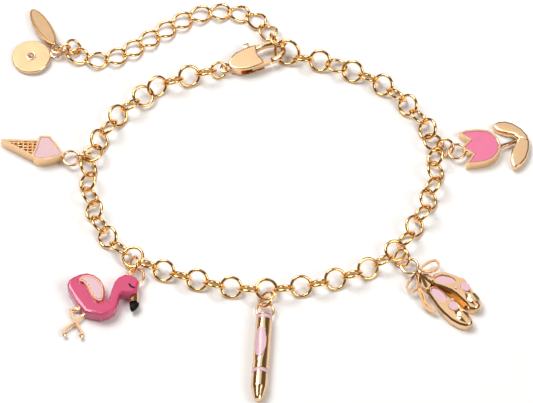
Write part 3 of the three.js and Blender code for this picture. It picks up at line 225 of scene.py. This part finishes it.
class Materials:
    """Builds each finish's material once, from shared node groups."""

    bump_depth: float = 0.00005
    coat_roughness: float = 0.04
    scratch_scale: float = 3.0

    def __init__(self) -> None:
        """Makes the shared groups."""
        self.variation = self._variation_group()
        self.scratches = self._scratch_group()
        self.streaks = self._streak_group()
        self.made: dict[str, bpy.types.Material] = {}

    @staticmethod
    def _socket(
        group: bpy.types.NodeTree,
        name: str,
        way: str,
        kind: str,
        value: object = None,
    ) -> None:
        """Adds one socket to a group.

        Args:
            group: the node group.
            name: the socket's name.
            way: INPUT or OUTPUT.
            kind: the socket's type.
            value: its default, where it has one.
        """
        socket = group.interface.new_socket(name=name, in_out=way, socket_type=kind)
        if value is not None:
            socket.default_value = value

    def _variation_group(self) -> bpy.types.NodeTree:
        """A soft change of colour and roughness over the surface.

        Returns:
            The node group, with Color, Roughness and Height outputs.
        """
        group = bpy.data.node_groups.new("surface_variation", "ShaderNodeTree")
        self._socket(group, "Vector", "INPUT", "NodeSocketVector")
        self._socket(group, "Color", "INPUT", "NodeSocketColor", (1, 1, 1, 1))
        self._socket(group, "Shade", "INPUT", "NodeSocketColor", (1, 1, 1, 1))
        self._socket(group, "Roughness", "INPUT", "NodeSocketFloat", 0.2)
        self._socket(group, "Spread", "INPUT", "NodeSocketFloat", 0.1)
        self._socket(group, "Scale", "INPUT", "NodeSocketFloat", 500.0)
        self._socket(group, "Color", "OUTPUT", "NodeSocketColor")
        self._socket(group, "Roughness", "OUTPUT", "NodeSocketFloat")
        self._socket(group, "Height", "OUTPUT", "NodeSocketFloat")
        nodes, links = group.nodes, group.links
        source = nodes.new("NodeGroupInput")
        target = nodes.new("NodeGroupOutput")
        noise = nodes.new("ShaderNodeTexNoise")
        noise.inputs["Detail"].default_value = 4.0
        mix = nodes.new("ShaderNodeMix")
        mix.data_type = "RGBA"
        spread = nodes.new("ShaderNodeMath")
        spread.operation = "MULTIPLY_ADD"
        links.new(source.outputs["Vector"], noise.inputs["Vector"])
        links.new(source.outputs["Scale"], noise.inputs["Scale"])
        links.new(noise.outputs["Fac"], mix.inputs["Factor"])
        links.new(source.outputs["Color"], mix.inputs["A"])
        links.new(source.outputs["Shade"], mix.inputs["B"])
        links.new(noise.outputs["Fac"], spread.inputs[0])
        links.new(source.outputs["Spread"], spread.inputs[1])
        links.new(source.outputs["Roughness"], spread.inputs[2])
        links.new(mix.outputs["Result"], target.inputs["Color"])
        links.new(spread.outputs[0], target.inputs["Roughness"])
        links.new(noise.outputs["Fac"], target.inputs["Height"])
        return group

    def _scratch_group(self) -> bpy.types.NodeTree:
        """Hair-fine polishing marks.

        Returns:
            The node group, with a Height output.
        """
        group = bpy.data.node_groups.new("polishing_marks", "ShaderNodeTree")
        self._socket(group, "Vector", "INPUT", "NodeSocketVector")
        self._socket(group, "Scale", "INPUT", "NodeSocketFloat", 1500.0)
        self._socket(group, "Height", "OUTPUT", "NodeSocketFloat")
        nodes, links = group.nodes, group.links
        source = nodes.new("NodeGroupInput")
        target = nodes.new("NodeGroupOutput")
        stretch = nodes.new("ShaderNodeMapping")
        stretch.inputs["Scale"].default_value = (1.0, 0.12, 1.0)
        noise = nodes.new("ShaderNodeTexNoise")
        noise.inputs["Detail"].default_value = 2.0
        links.new(source.outputs["Vector"], stretch.inputs["Vector"])
        links.new(stretch.outputs["Vector"], noise.inputs["Vector"])
        links.new(source.outputs["Scale"], noise.inputs["Scale"])
        links.new(noise.outputs["Fac"], target.inputs["Height"])
        return group

    def _streak_group(self) -> bpy.types.NodeTree:
        """Thin wavy streaks of a second colour.

        Returns:
            The node group, with a Color output.
        """
        group = bpy.data.node_groups.new("wavy_streaks", "ShaderNodeTree")
        self._socket(group, "Vector", "INPUT", "NodeSocketVector")
        self._socket(group, "Color", "INPUT", "NodeSocketColor", (1, 1, 1, 1))
        self._socket(group, "Streak", "INPUT", "NodeSocketColor", (1, 1, 1, 1))
        self._socket(group, "Color", "OUTPUT", "NodeSocketColor")
        nodes, links = group.nodes, group.links
        source = nodes.new("NodeGroupInput")
        target = nodes.new("NodeGroupOutput")
        wave = nodes.new("ShaderNodeTexWave")
        wave.inputs["Scale"].default_value = 190.0
        wave.inputs["Distortion"].default_value = 6.0
        wave.inputs["Detail Scale"].default_value = 1.0
        thin = nodes.new("ShaderNodeMapRange")
        thin.inputs["From Min"].default_value = 0.8
        thin.inputs["From Max"].default_value = 0.97
        mix = nodes.new("ShaderNodeMix")
        mix.data_type = "RGBA"
        links.new(source.outputs["Vector"], wave.inputs["Vector"])
        links.new(wave.outputs["Fac"], thin.inputs["Value"])
        links.new(thin.outputs["Result"], mix.inputs["Factor"])
        links.new(source.outputs["Color"], mix.inputs["A"])
        links.new(source.outputs["Streak"], mix.inputs["B"])
        links.new(mix.outputs["Result"], target.inputs["Color"])
        return group

    def of(self, finish: Finish) -> bpy.types.Material:
        """The material of a finish.

        Args:
            finish: the finish.

        Returns:
            Its material, made on first use.
        """
        if finish.name in self.made:
            return self.made[finish.name]
        material = bpy.data.materials.new(finish.name)
        material.use_nodes = True
        nodes, links = material.node_tree.nodes, material.node_tree.links
        shader = nodes["Principled BSDF"]
        place = nodes.new("ShaderNodeTexCoord")
        vary = nodes.new("ShaderNodeGroup")
        vary.node_tree = self.variation
        vary.inputs["Color"].default_value = (*finish.color, 1.0)
        vary.inputs["Shade"].default_value = (*finish.shade, 1.0)
        vary.inputs["Roughness"].default_value = finish.roughness
        vary.inputs["Spread"].default_value = finish.spread
        vary.inputs["Scale"].default_value = finish.grain
        marks = nodes.new("ShaderNodeGroup")
        marks.node_tree = self.scratches
        marks.inputs["Scale"].default_value = finish.grain * self.scratch_scale
        bump = nodes.new("ShaderNodeBump")
        bump.inputs["Strength"].default_value = finish.bump
        bump.inputs["Distance"].default_value = self.bump_depth
        links.new(place.outputs["Object"], vary.inputs["Vector"])
        links.new(place.outputs["Object"], marks.inputs["Vector"])
        color = vary.outputs["Color"]
        if finish.streak:
            streaks = nodes.new("ShaderNodeGroup")
            streaks.node_tree = self.streaks
            streaks.inputs["Streak"].default_value = (*finish.streak, 1.0)
            links.new(place.outputs["Object"], streaks.inputs["Vector"])
            links.new(color, streaks.inputs["Color"])
            color = streaks.outputs["Color"]
        links.new(color, shader.inputs["Base Color"])
        links.new(vary.outputs["Roughness"], shader.inputs["Roughness"])
        links.new(marks.outputs["Height"], bump.inputs["Height"])
        links.new(bump.outputs["Normal"], shader.inputs["Normal"])
        shader.inputs["Metallic"].default_value = finish.metallic
        shader.inputs["Coat Weight"].default_value = finish.coat
        shader.inputs["Coat Roughness"].default_value = self.coat_roughness
        shader.inputs["Transmission Weight"].default_value = finish.transmission
        shader.inputs["Specular IOR Level"].default_value = finish.gloss
        material.diffuse_color = (*finish.color, 1.0)
        self.made[finish.name] = material
        return material


@dataclass
class Bench:
    """Makes scene objects from bmeshes, dresses them and reports them."""

    materials: Materials
    count: int = 0

    def object_of(self, name: str, bm: bmesh.types.BMesh, finish: Finish) -> bpy.types.Object:
        """Turns a bmesh in millimetres into a dressed object in metres.

        Args:
            name: the object's name.
            bm: the bmesh, freed here.
            finish: its finish.

        Returns:
            The new object, smooth all over.
        """
        bmesh.ops.scale(bm, vec=(MM, MM, MM), verts=bm.verts)
        return self.place(name, bm, finish, SMOOTH_ALL)

    def place(
        self,
        name: str,
        bm: bmesh.types.BMesh,
        finish: Finish,
        smooth: float | None,
    ) -> bpy.types.Object:
        """Turns a bmesh that is already in metres into a dressed object.

        Args:
            name: the object's name.
            bm: the bmesh, freed here.
            finish: its finish.
            smooth: the sharpest angle that stays smooth, in degrees; None for flat facets.

        Returns:
            The new object.
        """
        mesh = bpy.data.meshes.new(name)
        if smooth is not None:
            for face in bm.faces:
                face.smooth = True
            for edge in bm.edges:
                turn = edge.calc_face_angle(0.0) if len(edge.link_faces) == 2 else 0.0
                edge.smooth = turn < math.radians(smooth)
        bm.to_mesh(mesh)
        bm.free()
        item = bpy.data.objects.new(name, mesh)
        bpy.context.scene.collection.objects.link(item)
        mesh.materials.append(self.materials.of(finish))
        self.count += 1
        LOG.info("%s: %d faces, %s", name, len(mesh.polygons), finish.name)
        return item

    @staticmethod
    def finish_piece(item: bpy.types.Object, finish: Finish, *nodes: str, body: str = BODY) -> None:
        """Makes a piece ride, and stand for its nodes.

        Args:
            item: the object.
            finish: its finish; not used.
            nodes: the CAD nodes that it stands for.
            body: the body that it rides on.
        """
        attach(item, body)
        if nodes:
            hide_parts(*nodes)


def wire_loop(
    long: float,
    wide: float,
    wire: float,
    twist: float = 0.0,
    around: int = 48,
    across: int = 14,
) -> bmesh.types.BMesh:
    """A closed loop of round wire in the XY plane.

    Args:
        long: the length of the wire's middle line.
        wide: its width.
        wire: the wire's thickness.
        twist: how far each end is turned about X, in degrees.
        around: steps round the loop.
        across: sides of the wire.

    Returns:
        The loop's bmesh, in millimetres.
    """
    bm = bmesh.new()
    radius = long / 2
    bmesh.ops.create_circle(bm, segments=across, radius=wire / 2)
    upright = Matrix.Translation((radius, 0, 0)) @ Matrix.Rotation(math.pi / 2, 4, "X")
    bmesh.ops.transform(bm, matrix=upright, verts=bm.verts)
    bmesh.ops.spin(
        bm,
        geom=bm.verts[:] + bm.edges[:],
        cent=(0, 0, 0),
        axis=(0, 0, 1),
        angle=2 * math.pi,
        steps=around,
        use_merge=True,
    )
    bmesh.ops.remove_doubles(bm, verts=bm.verts, dist=MERGE)
    for vert in bm.verts:
        turn = math.atan2(vert.co.y, vert.co.x)
        out = math.hypot(vert.co.x, vert.co.y) - radius
        outward = Vector((wide * math.cos(turn), long * math.sin(turn), 0)).normalized()
        middle = Vector((long / 2 * math.cos(turn), wide / 2 * math.sin(turn), 0))
        spot = middle + outward * out + Vector((0, 0, vert.co.z))
        vert.co = Matrix.Rotation(math.radians(twist) * math.cos(turn), 3, "X") @ spot
    bmesh.ops.recalc_face_normals(bm, faces=bm.faces)
    return bm


def add_copy(target: bmesh.types.BMesh, mesh: bpy.types.Mesh, frame: Matrix) -> None:
    """Adds a placed copy of a mesh to a bmesh.

    Args:
        target: the bmesh that grows.
        mesh: the mesh to copy.
        frame: where it goes.
    """
    before = len(target.verts)
    target.from_mesh(mesh)
    target.verts.ensure_lookup_table()
    bmesh.ops.transform(target, matrix=frame, verts=target.verts[before:])


def frame_at(centre: Vector, along: Vector, across: Vector, roll: float) -> Matrix:
    """A frame with X along and Y rolled up from across.

    Args:
        centre: its origin.
        along: the direction of X.
        across: the level direction that Y starts from.
        roll: how far Y is rolled up, in degrees.

    Returns:
        The 4 by 4 frame.
    """
    side = across * math.cos(math.radians(roll)) + Vector((0, 0, math.sin(math.radians(roll))))
    x = along.normalized()
    y = (side - x * side.dot(x)).normalized()
    z = x.cross(y)
    basis = Matrix((x, y, z)).transposed().to_4x4()
    return Matrix.Translation(centre) @ basis


def heading(degrees: float) -> Vector:
    """The level direction at an angle from +X.

    Args:
        degrees: the angle.

    Returns:
        The direction, of length 1.
    """
    turn = math.radians(degrees)
    return Vector((math.cos(turn), math.sin(turn), 0))


def left_of(direction: Vector) -> Vector:
    """The level direction to the left of another.

    Args:
        direction: the other direction.

    Returns:
        The direction, of length 1.
    """
    return Vector((-direction.y, direction.x, 0)).normalized()


@dataclass
class Route:
    """A smooth centripetal curve through a few points, read by its length."""

    points: list[Vector]
    divisions: int = 200
    nudge: float = 0.0001
    lengths: list[float] = field(default_factory=list)

    def __post_init__(self) -> None:
        """Measures the curve."""
        total = 0.0
        last = self.at(0)
        self.lengths = [0.0]
        for i in range(1, self.divisions + 1):
            here = self.at(i / self.divisions)
            total += (here - last).length
            self.lengths.append(total)
            last = here

    def at(self, share: float) -> Vector:
        """The point at a share of the curve's own parameter.

        Args:
            share: from 0 to 1.

        Returns:
            The point.
        """
        spans = len(self.points) - 1
        place = spans * share
        i = min(int(place), spans - 1)
        weight = place - i
        p1, p2 = self.points[i], self.points[i + 1]
        p0 = self.points[i - 1] if i > 0 else 2 * p1 - p2
        p3 = self.points[i + 2] if i + 2 <= spans else 2 * p2 - p1
        d0, d1, d2 = (math.sqrt((b - a).length) for a, b in ((p0, p1), (p1, p2), (p2, p3)))
        t1 = ((p1 - p0) / d0 - (p2 - p0) / (d0 + d1) + (p2 - p1) / d1) * d1
        t2 = ((p2 - p1) / d1 - (p3 - p1) / (d1 + d2) + (p3 - p2) / d2) * d1
        c2 = -3 * p1 + 3 * p2 - 2 * t1 - t2
        c3 = 2 * p1 - 2 * p2 + t1 + t2
        return p1 + t1 * weight + c2 * weight**2 + c3 * weight**3

    def share_of(self, part: float) -> float:
        """The curve's own parameter at a share of its length.

        Args:
            part: from 0 to 1 of the length.

        Returns:
            The parameter, from 0 to 1.
        """
        goal = part * self.lengths[-1]
        low = max(i for i, length in enumerate(self.lengths) if length <= goal + 1e-12)
        if low >= self.divisions:
            return 1.0
        step = self.lengths[low + 1] - self.lengths[low]
        return (low + (goal - self.lengths[low]) / step) / self.divisions

    def stations(self, pitch: float) -> list[tuple[Vector, Vector]]:
        """Evenly spaced places along the curve.

        Args:
            pitch: the least distance between them.

        Returns:
            Each place's point and direction.
        """
        spans = int(self.lengths[-1] / pitch)
        found = []
        for i in range(spans + 1):
            share = self.share_of(i / spans)
            low, high = max(share - self.nudge, 0), min(share + self.nudge, 1)
            found.append((self.at(share), (self.at(high) - self.at(low)).normalized()))
        return found


@dataclass(frozen=True)
class LeaningRing:
    """A ring whose plane falls by a tilt toward a heading, in degrees."""

    at: tuple[float, float]
    outer: float
    wire: float
    tilt: float
    low: float

    def frame(self) -> Matrix:
        """The ring's frame.

        Returns:
            The 4 by 4 frame, with X down the fall and Y level.
        """
        radius = (self.outer - self.wire) / 2
        tilt = math.radians(self.tilt)
        fall = heading(self.low) * math.cos(tilt) - Vector((0, 0, math.sin(tilt)))
        level = left_of(heading(self.low))
        centre = Vector((*self.at, radius * math.sin(tilt) + self.wire / 2 + RING_LIFT))
        basis = Matrix((fall, level, fall.cross(level))).transposed().to_4x4()
        return Matrix.Translation(centre) @ basis

    def held(self, angle: float, wire: float) -> Vector:
        """The middle of a second wire that is held inside the ring.

        Args:
            angle: where round the ring, in degrees.
            wire: the second wire's thickness.

        Returns:
            The point.
        """
        reach = (self.outer - self.wire) / 2 - (self.wire + wire) / 2 - PLAY
        return self.frame() @ (heading(angle) * reach)


END_RING = LeaningRing(at=(3.61, 30.33), outer=4.95, wire=0.54, tilt=51.5, low=250.7)


@dataclass
class MainChain:
    """The chain of round links, every other one rolled the other way."""

    outer: float = 4.1
    wire: float = 0.55
    stretch: float = 0.05
    roll: float = 45.0
    charm_roll: float = 22.0
    spacing: int = 8
    turned: int = 4
    turned_roll: float = 58.0
    turned_lift: float = 0.25
    ring_outer: float = 3.2
    ring_wire: float = RING_WIRE
    ring_reach: float = 0.05
    ring_heading: float = 196.0
    last_heading: float = -7.0
    eye: tuple[float, float] = (-7.1, 27.44)
    end_ring: LeaningRing = END_RING
    end_round: float = 63.0
    middles: tuple[tuple[float, float], ...] = (
        (-15.6, 24.9), (-18.6, 23.6), (-21.7, 21.3), (-25.3, 18.1), (-29, 12.6), (-31, 7.4),
        (-31.2, 2.5), (-30.2, -2.6), (-28.1, -8), (-23.9, -12.3), (-18.8, -15.2), (-12.5, -17.4),
        (-6.6, -19), (-0.4, -19.5), (5.9, -18.9), (11.8, -17.4), (17.6, -15.2), (22.5, -11.4),
        (25.8, -6.4), (28.3, -0.7), (29.6, 5.4), (29.2, 11.8), (26.5, 17.2), (20.6, 23.6),
        (15.1, 26.6),
    )

    def __post_init__(self) -> None:
        """Works out where each link lies."""
        self.middle = self.outer - self.wire
        self.height = self.middle / 2 * math.sin(math.radians(self.roll)) + self.wire / 2
        ring = (self.ring_outer - self.ring_wire) / 2
        along = heading(self.ring_heading)
        centre = Vector((*self.eye, 0)) + along * (ring - self.ring_reach)
        hold = ring - (self.ring_wire + self.wire) / 2 - PLAY
        first = centre + along * (hold + self.middle / 2)
        back = heading(self.last_heading)
        last = self.end_ring.held(self.end_round, self.wire) + back * self.middle / 2
        flat = [Vector((x, y, 0)) for x, y in self.middles]
        points = [first, first + along * self.outer / 2, *flat, last + back * self.outer / 2, last]
        level = [Vector((p.x, p.y, self.height)) for p in points]
        self.places = Route(level).stations(self.middle - self.wire + self.stretch)
        self.centre_link = 2 * round(len(self.places) / 4)

    def roll_of(self, number: int) -> float:
        """How far a link is rolled.

        Args:
            number: the link, counted from 1.

        Returns:
            The roll, in degrees.
        """
        if number == self.turned:
            return self.turned_roll
        up = (number > self.turned) == (number % 2 == 1)
        carries = (number - self.centre_link) % self.spacing == 0 and number > self.turned
        flat = carries or number == self.turned + 1
        return (1 if up else -1) * (self.charm_roll if flat else self.roll)

    def build(self, bench: Bench) -> None:
        """Makes the chain as one piece.

        Args:
            bench: where it is made.
        """
        link = bpy.data.meshes.new("round_link")
        loop = wire_loop(self.middle, self.middle, self.wire, around=40)
        loop.to_mesh(link)
        loop.free()
        bm = bmesh.new()
        for number, (centre, along) in enumerate(self.places, 1):
            lift = self.turned_lift if number == self.turned else 0.0
            spot = centre + Vector((0, 0, lift)) + ORIGIN_SHIFT
            add_copy(bm, link, frame_at(spot, along, -left_of(along), self.roll_of(number)))
        bpy.data.meshes.remove(link)
        chain = bench.object_of("round_link_chain", bm, GOLD)
        bench.finish_piece(chain, GOLD, "main_chain")


@dataclass
class ExtenderChain:
    """The chain of twisted curb links behind the end ring."""

    length: float = 4.36
    width: float = 3.66
    wire: float = 0.5
    twist: float = 38.0
    stretch: float = 0.06
    visible: float = 0.93
    first_round: float = 206.0
    first_along: tuple[float, float, float] = (-0.699, 0.631, -0.337)
    first_roll: float = 45.0
    middles: tuple[tuple[float, float, float], ...] = (
        (0.3, 35.4, 1.15), (-2, 38.2, 0.8), (-5.7, 39.7, 0.76), (-9.5, 39.7, 0.76),
        (-13.2, 38.8, 0.76), (-19.7, 34.6, 0.76), (-26, 30.4, 0.76), (-29.8, 29.5, 0.76),
        (-33.35, 30.43, 0.78),
    )

    def build(self, bench: Bench, end_ring: LeaningRing) -> None:
        """Makes the extender as one piece.

        Args:
            bench: where it is made.
            end_ring: the ring that holds its first link.
        """
        long, wide = self.length - self.wire, self.width - self.wire
        pin = end_ring.held(self.first_round, self.wire)
        first = pin + Vector(self.first_along) * long / 2
        route = Route([first, *(Vector(p) for p in self.middles)])
        link = bpy.data.meshes.new("curb_link")
        loop = wire_loop(long, wide * self.visible, self.wire, self.twist, around=40)
        loop.to_mesh(link)
        loop.free()
        bm = bmesh.new()
        for number, (centre, along) in enumerate(route.stations(long - self.wire + self.stretch)):
            roll = self.first_roll if number == 0 else 0.0
            add_copy(bm, link, frame_at(centre + ORIGIN_SHIFT, along, left_of(along), roll))
        bpy.data.meshes.remove(link)
        chain = bench.object_of("curb_link_chain", bm, GOLD)
        bench.finish_piece(chain, GOLD, "extender_chain")


@dataclass
class WireRings:
    """The single rings of round wire, each fitted on its CAD node."""

    wires: dict[str, float] = field(
        default_factory=lambda: {
            "clasp_ring": RING_WIRE,
            "end_ring": END_RING.wire,
            "ice_cream_ring": RING_WIRE,
            "flamingo_ring": RING_WIRE,
            "crayon_ring": RING_WIRE,
            "slippers_ring": RING_WIRE,
            "tulip_ring": RING_WIRE,
            "tag_ring": RING_WIRE,
            "tag_link": TAG_LINK_WIRE,
        }
    )

    def build(self, bench: Bench, nodes: dict[str, bpy.types.Object]) -> None:
        """Makes every ring.

        Args:
            bench: where they are made.
            nodes: the CAD nodes by name.
        """
        for name, wire in self.wires.items():
            mesh = nodes[name].data
            points = np.array([v.co[:] for v in mesh.vertices]) / MM
            points = np.unique(points.round(4), axis=0)
            centre = points.mean(0)
            _, _, turn = np.linalg.svd(points - centre)
            outer = np.linalg.norm(points - centre, axis=1).max()
            frame = Matrix([list(axis) for axis in turn]).transposed()
            if frame.determinant() < 0:
                frame.col[2] = -frame.col[2]
            middle = 2 * outer - wire
            loop = wire_loop(middle, middle, wire)
            place = Matrix.Translation(centre.tolist()) @ frame.to_4x4()
            bmesh.ops.transform(loop, matrix=place, verts=loop.verts)
            ring = bench.object_of(name + "_wire", loop, GOLD)
            bench.finish_piece(ring, GOLD, name)


@dataclass
class CharmLoops:
    """Smooth round wire over the charms' cast loops."""

    outer: float = 3.45
    cast_wire: float = 0.45
    wire: float = 0.455
    height: float = 1.2
    places: dict[str, tuple[float, float]] = field(
        default_factory=lambda: {
            "ice_cream": (-34.177, 8.355),
            "flamingo": (-22.86, -16.468),
            "crayon": (-0.28, -23.694),
            "slippers": (24.94, -14.426),
            "tulip": (33.375, 9.783),
        }
    )

    def build(self, bench: Bench) -> None:
        """Makes every loop.

        Args:
            bench: where they are made.
        """
        middle = self.outer - self.cast_wire
        for name, (x, y) in self.places.items():
            loop = wire_loop(middle, middle, self.wire)
            spot = Vector((x, y, self.height)) + ORIGIN_SHIFT
            bmesh.ops.translate(loop, vec=spot, verts=loop.verts)
            item = bench.object_of(name + "_loop_wire", loop, CAST_GOLD)
            bench.finish_piece(item, CAST_GOLD)


@dataclass
class TagGrooveShadeLine:
    """The fine oval line round the edge of the oval tag's face, where its engraving runs; its dark
    gold is painted shade of the groove.
    """

    at: tuple[float, float, float] = (-36.97, 31.29, 1.76)
    heading: float = 116.4
    fall: float = 6.5
    centre: float = 5.47
    long: float = 8.5
    wide: float = 2.2
    width: float = 0.16
    level: float = 0.445
    flatness: float = 0.25

    def build(self, bench: Bench) -> None:
        """Makes the line.

        Args:
            bench: where it is made.
        """
        line = wire_loop(self.long, self.wide, self.width, around=64, across=8)
        bmesh.ops.scale(line, vec=(1, 1, self.flatness), verts=line.verts)
        turn = Matrix.Rotation(math.radians(self.heading), 4, "Z")
        fall = Matrix.Rotation(math.radians(self.fall), 4, "Y")
        place = Matrix.Translation(Vector(self.at) + ORIGIN_SHIFT) @ turn @ fall
        frame = place @ Matrix.Translation((self.centre, 0, self.level))
        bmesh.ops.transform(line, matrix=frame, verts=line.verts)
        # The dark gold stands in for the shade inside the engraved groove: painted shade.
        item = bench.object_of("oval_tag_groove_shade_line", line, PAINTED_SHADE_GOLD)
        bench.finish_piece(item, PAINTED_SHADE_GOLD)


@dataclass
class CastPieces:
    """Cast and enamelled pieces: merged copies of their nodes with softened edges."""

    bench: Bench
    nodes: dict[str, bpy.types.Object]
    soft: float = 0.06
    segments: int = 2
    sharp: float = 34.0
    flat: float = 2.0
    merge: float = 0.002
    upward: float = 0.9

    def build(
        self,
        name: str,
        finish: Finish,
        soft: float | None = None,
        body: str = BODY,
        smooth: float | None = 40.0,
        sunk: tuple[float, float] | None = None,
    ) -> None:
        """Makes one piece.

        Args:
            name: the node.
            finish: its finish.
            soft: the width of its softened edges, in millimetres.
            body: the body it rides on.
            smooth: the sharpest angle that is shaded smooth, in degrees; None for flat facets.
            sunk: the levels between which faces that look up are painted shade in dark gold, in
                millimetres.
        """
        bm = bmesh.new()
        bm.from_mesh(self.nodes[name].data)
        bmesh.ops.remove_doubles(bm, verts=bm.verts, dist=self.merge * MM)
        flat = math.radians(self.flat)
        bmesh.ops.dissolve_limit(bm, angle_limit=flat, verts=bm.verts, edges=bm.edges)
        width = self.soft if soft is None else soft
        if width:
            edges = [e for e in bm.edges if e.calc_face_angle(0.0) > math.radians(self.sharp)]
            bmesh.ops.bevel(
                bm,
                geom=edges,
                offset=width * MM,
                offset_type="OFFSET",
                affect="EDGES",
                segments=self.segments,
                profile=0.5,
                material=-1,
                clamp_overlap=True,
            )
        # Faces that look up between the sunk levels take the dark gold, which is painted shade in
        # the recesses.
        for face in bm.faces:
            level = face.calc_center_median().z / MM
            in_painted_shade = sunk is not None and sunk[0] < level < sunk[1]
            face.material_index = int(in_painted_shade and face.normal.z > self.upward)
        item = self.bench.place(name + "_look", bm, finish, smooth)
        # The second material is the dark gold of painted shade.
        if sunk:
            item.data.materials.append(self.bench.materials.of(PAINTED_SHADE_GOLD))
        if smooth is not None:
            even = item.modifiers.new("even_normals", "WEIGHTED_NORMAL")
            even.keep_sharp = True
        self.bench.finish_piece(item, finish, name, body=body)


@dataclass(frozen=True)
class SoftBox:
    """One soft square light that faces the part.

    The spot and the side are in metres, and the power is in watts.
    """

    name: str
    spot: tuple[float, float, float]
    side: float
    power: float

    def build(self) -> None:
        """Makes the light."""
        light = bpy.data.lights.new(self.name, "AREA")
        light.size = self.side
        light.energy = self.power
        item = bpy.data.objects.new(self.name, light)
        bpy.context.scene.collection.objects.link(item)
        item.location = self.spot
        item.rotation_euler = (-Vector(self.spot)).to_track_quat("-Z", "Y").to_euler()


@dataclass
class Studio:
    """The pale floor, the soft lights and the camera.

    The target, the distance and the floor's size are in millimetres, the clip planes in metres.
    """

    target: tuple[float, float, float] = (0.167, 0.556, 0.0)
    elevation: float = 56.0
    distance: float = 2592.0
    lens: float = 1000.0
    sensor: float = 36.0
    near: float = 0.01
    far: float = 20.0
    floor_size: float = 20000.0
    floor_color: tuple[float, float, float] = (0.93, 0.93, 0.93)
    floor_roughness: float = 0.6
    floor_gloss: float = 0.1
    room_color: tuple[float, float, float] = (1.0, 0.84, 0.68)
    room_strength: float = 0.12
    boxes: tuple[SoftBox, ...] = (
        SoftBox("key", (-0.35, 0.25, 0.75), 0.5, 6.0),
        SoftBox("fill", (0.5, -0.3, 0.6), 0.4, 2.9),
        SoftBox("back", (0.05, 0.45, 0.67), 0.6, 0.9),
    )

    def build(self) -> None:
        """Makes the floor, lights, world and camera."""
        self._floor()
        self._lights()
        self._camera()

    def _floor(self) -> None:
        """A plain pale floor just below the part."""
        bm = bmesh.new()
        bmesh.ops.create_grid(bm, x_segments=2, y_segments=2, size=self.floor_size * MM / 2)
        mesh = bpy.data.meshes.new("floor")
        bm.to_mesh(mesh)
        bm.free()
        floor = bpy.data.objects.new("floor", mesh)
        bpy.context.scene.collection.objects.link(floor)
        material = bpy.data.materials.new("pale_floor")
        material.use_nodes = True
        shader = material.node_tree.nodes["Principled BSDF"]
        shader.inputs["Base Color"].default_value = (*self.floor_color, 1)
        shader.inputs["Roughness"].default_value = self.floor_roughness
        shader.inputs["Specular IOR Level"].default_value = self.floor_gloss
        mesh.materials.append(material)

    def _lights(self) -> None:
        """Soft boxes over a dim room, so that gold shows bright and dark bands."""
        for box in self.boxes:
            box.build()
        world = bpy.data.worlds.new("room")
        world.use_nodes = True
        glow = world.node_tree.nodes["Background"]
        glow.inputs["Color"].default_value = (*self.room_color, 1)
        glow.inputs["Strength"].default_value = self.room_strength
        bpy.context.scene.world = world
        bpy.context.scene.view_settings.view_transform = "Standard"

    def _camera(self) -> None:
        """A long lens at the photograph's angle."""
        data = bpy.data.cameras.new("camera")
        data.lens = self.lens
        data.sensor_width = self.sensor
        data.clip_start = self.near
        data.clip_end = self.far
        camera = bpy.data.objects.new("camera", data)
        bpy.context.scene.collection.objects.link(camera)
        rise = math.radians(self.elevation)
        away = Vector((0, -math.cos(rise), math.sin(rise))) * self.distance * MM
        camera.location = Vector(self.target) * MM + away
        camera.rotation_euler = (math.pi / 2 - rise, 0, 0)
        bpy.context.scene.camera = camera


def main() -> None:
    """Builds the bracelet's looks and the studio."""
    logging.basicConfig(level=logging.INFO, format="%(message)s")
    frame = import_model()
    nodes = frame["nodes"]
    bench = Bench(Materials())
    chain = MainChain()
    chain.build(bench)
    ExtenderChain().build(bench, chain.end_ring)
    WireRings().build(bench, nodes)
    CharmLoops().build(bench)
    # The oval tag's engraved line, drawn as a dark gold line of painted shade.
    TagGrooveShadeLine().build(bench)
    cast = CastPieces(bench, nodes)
    plain = (
        "clasp_body", "flamingo_casting", "crayon_charm",
        "tulip_charm", "oval_tag", "round_tag",
    )
    for name in plain:
        cast.build(name, CAST_GOLD)
    # The waffle pockets and the slippers' low faces get painted shade in dark gold.
    cast.build("ice_cream_charm", CAST_GOLD, soft=FINE_EDGE, sunk=WAFFLE_FLOOR)
    cast.build("slippers_charm", CAST_GOLD, sunk=SLIPPERS_FLOOR)
    cast.build("ice_cream_enamel", SWIRL)
    cast.build("clasp_lever", CAST_GOLD, body=LEVER_BODY)
    cast.build("tulip_enamel", PINK)
    cast.build("flamingo_enamel", HOT_PINK, soft=FINE_EDGE)
    pale = (
        "flamingo_wing", "crayon_band_upper", "crayon_band_lower", "crayon_label",
        "slipper_insole_upper", "slipper_toe_upper", "slipper_spot_upper",
        "slipper_insole_lower", "slipper_toe_lower", "slipper_spot_lower",
    )
    for name in pale:
        cast.build(name, PALE)
    cast.build("flamingo_eye", BLACK, soft=FINE_EDGE)
    cast.build("flamingo_beak_tip", BLACK)
    cast.build("round_tag_stone", CRYSTAL, soft=0.0, smooth=None)
    Studio().build()
    LOG.info("%d pieces", bench.count)


if __name__ == "__main__":
    main()
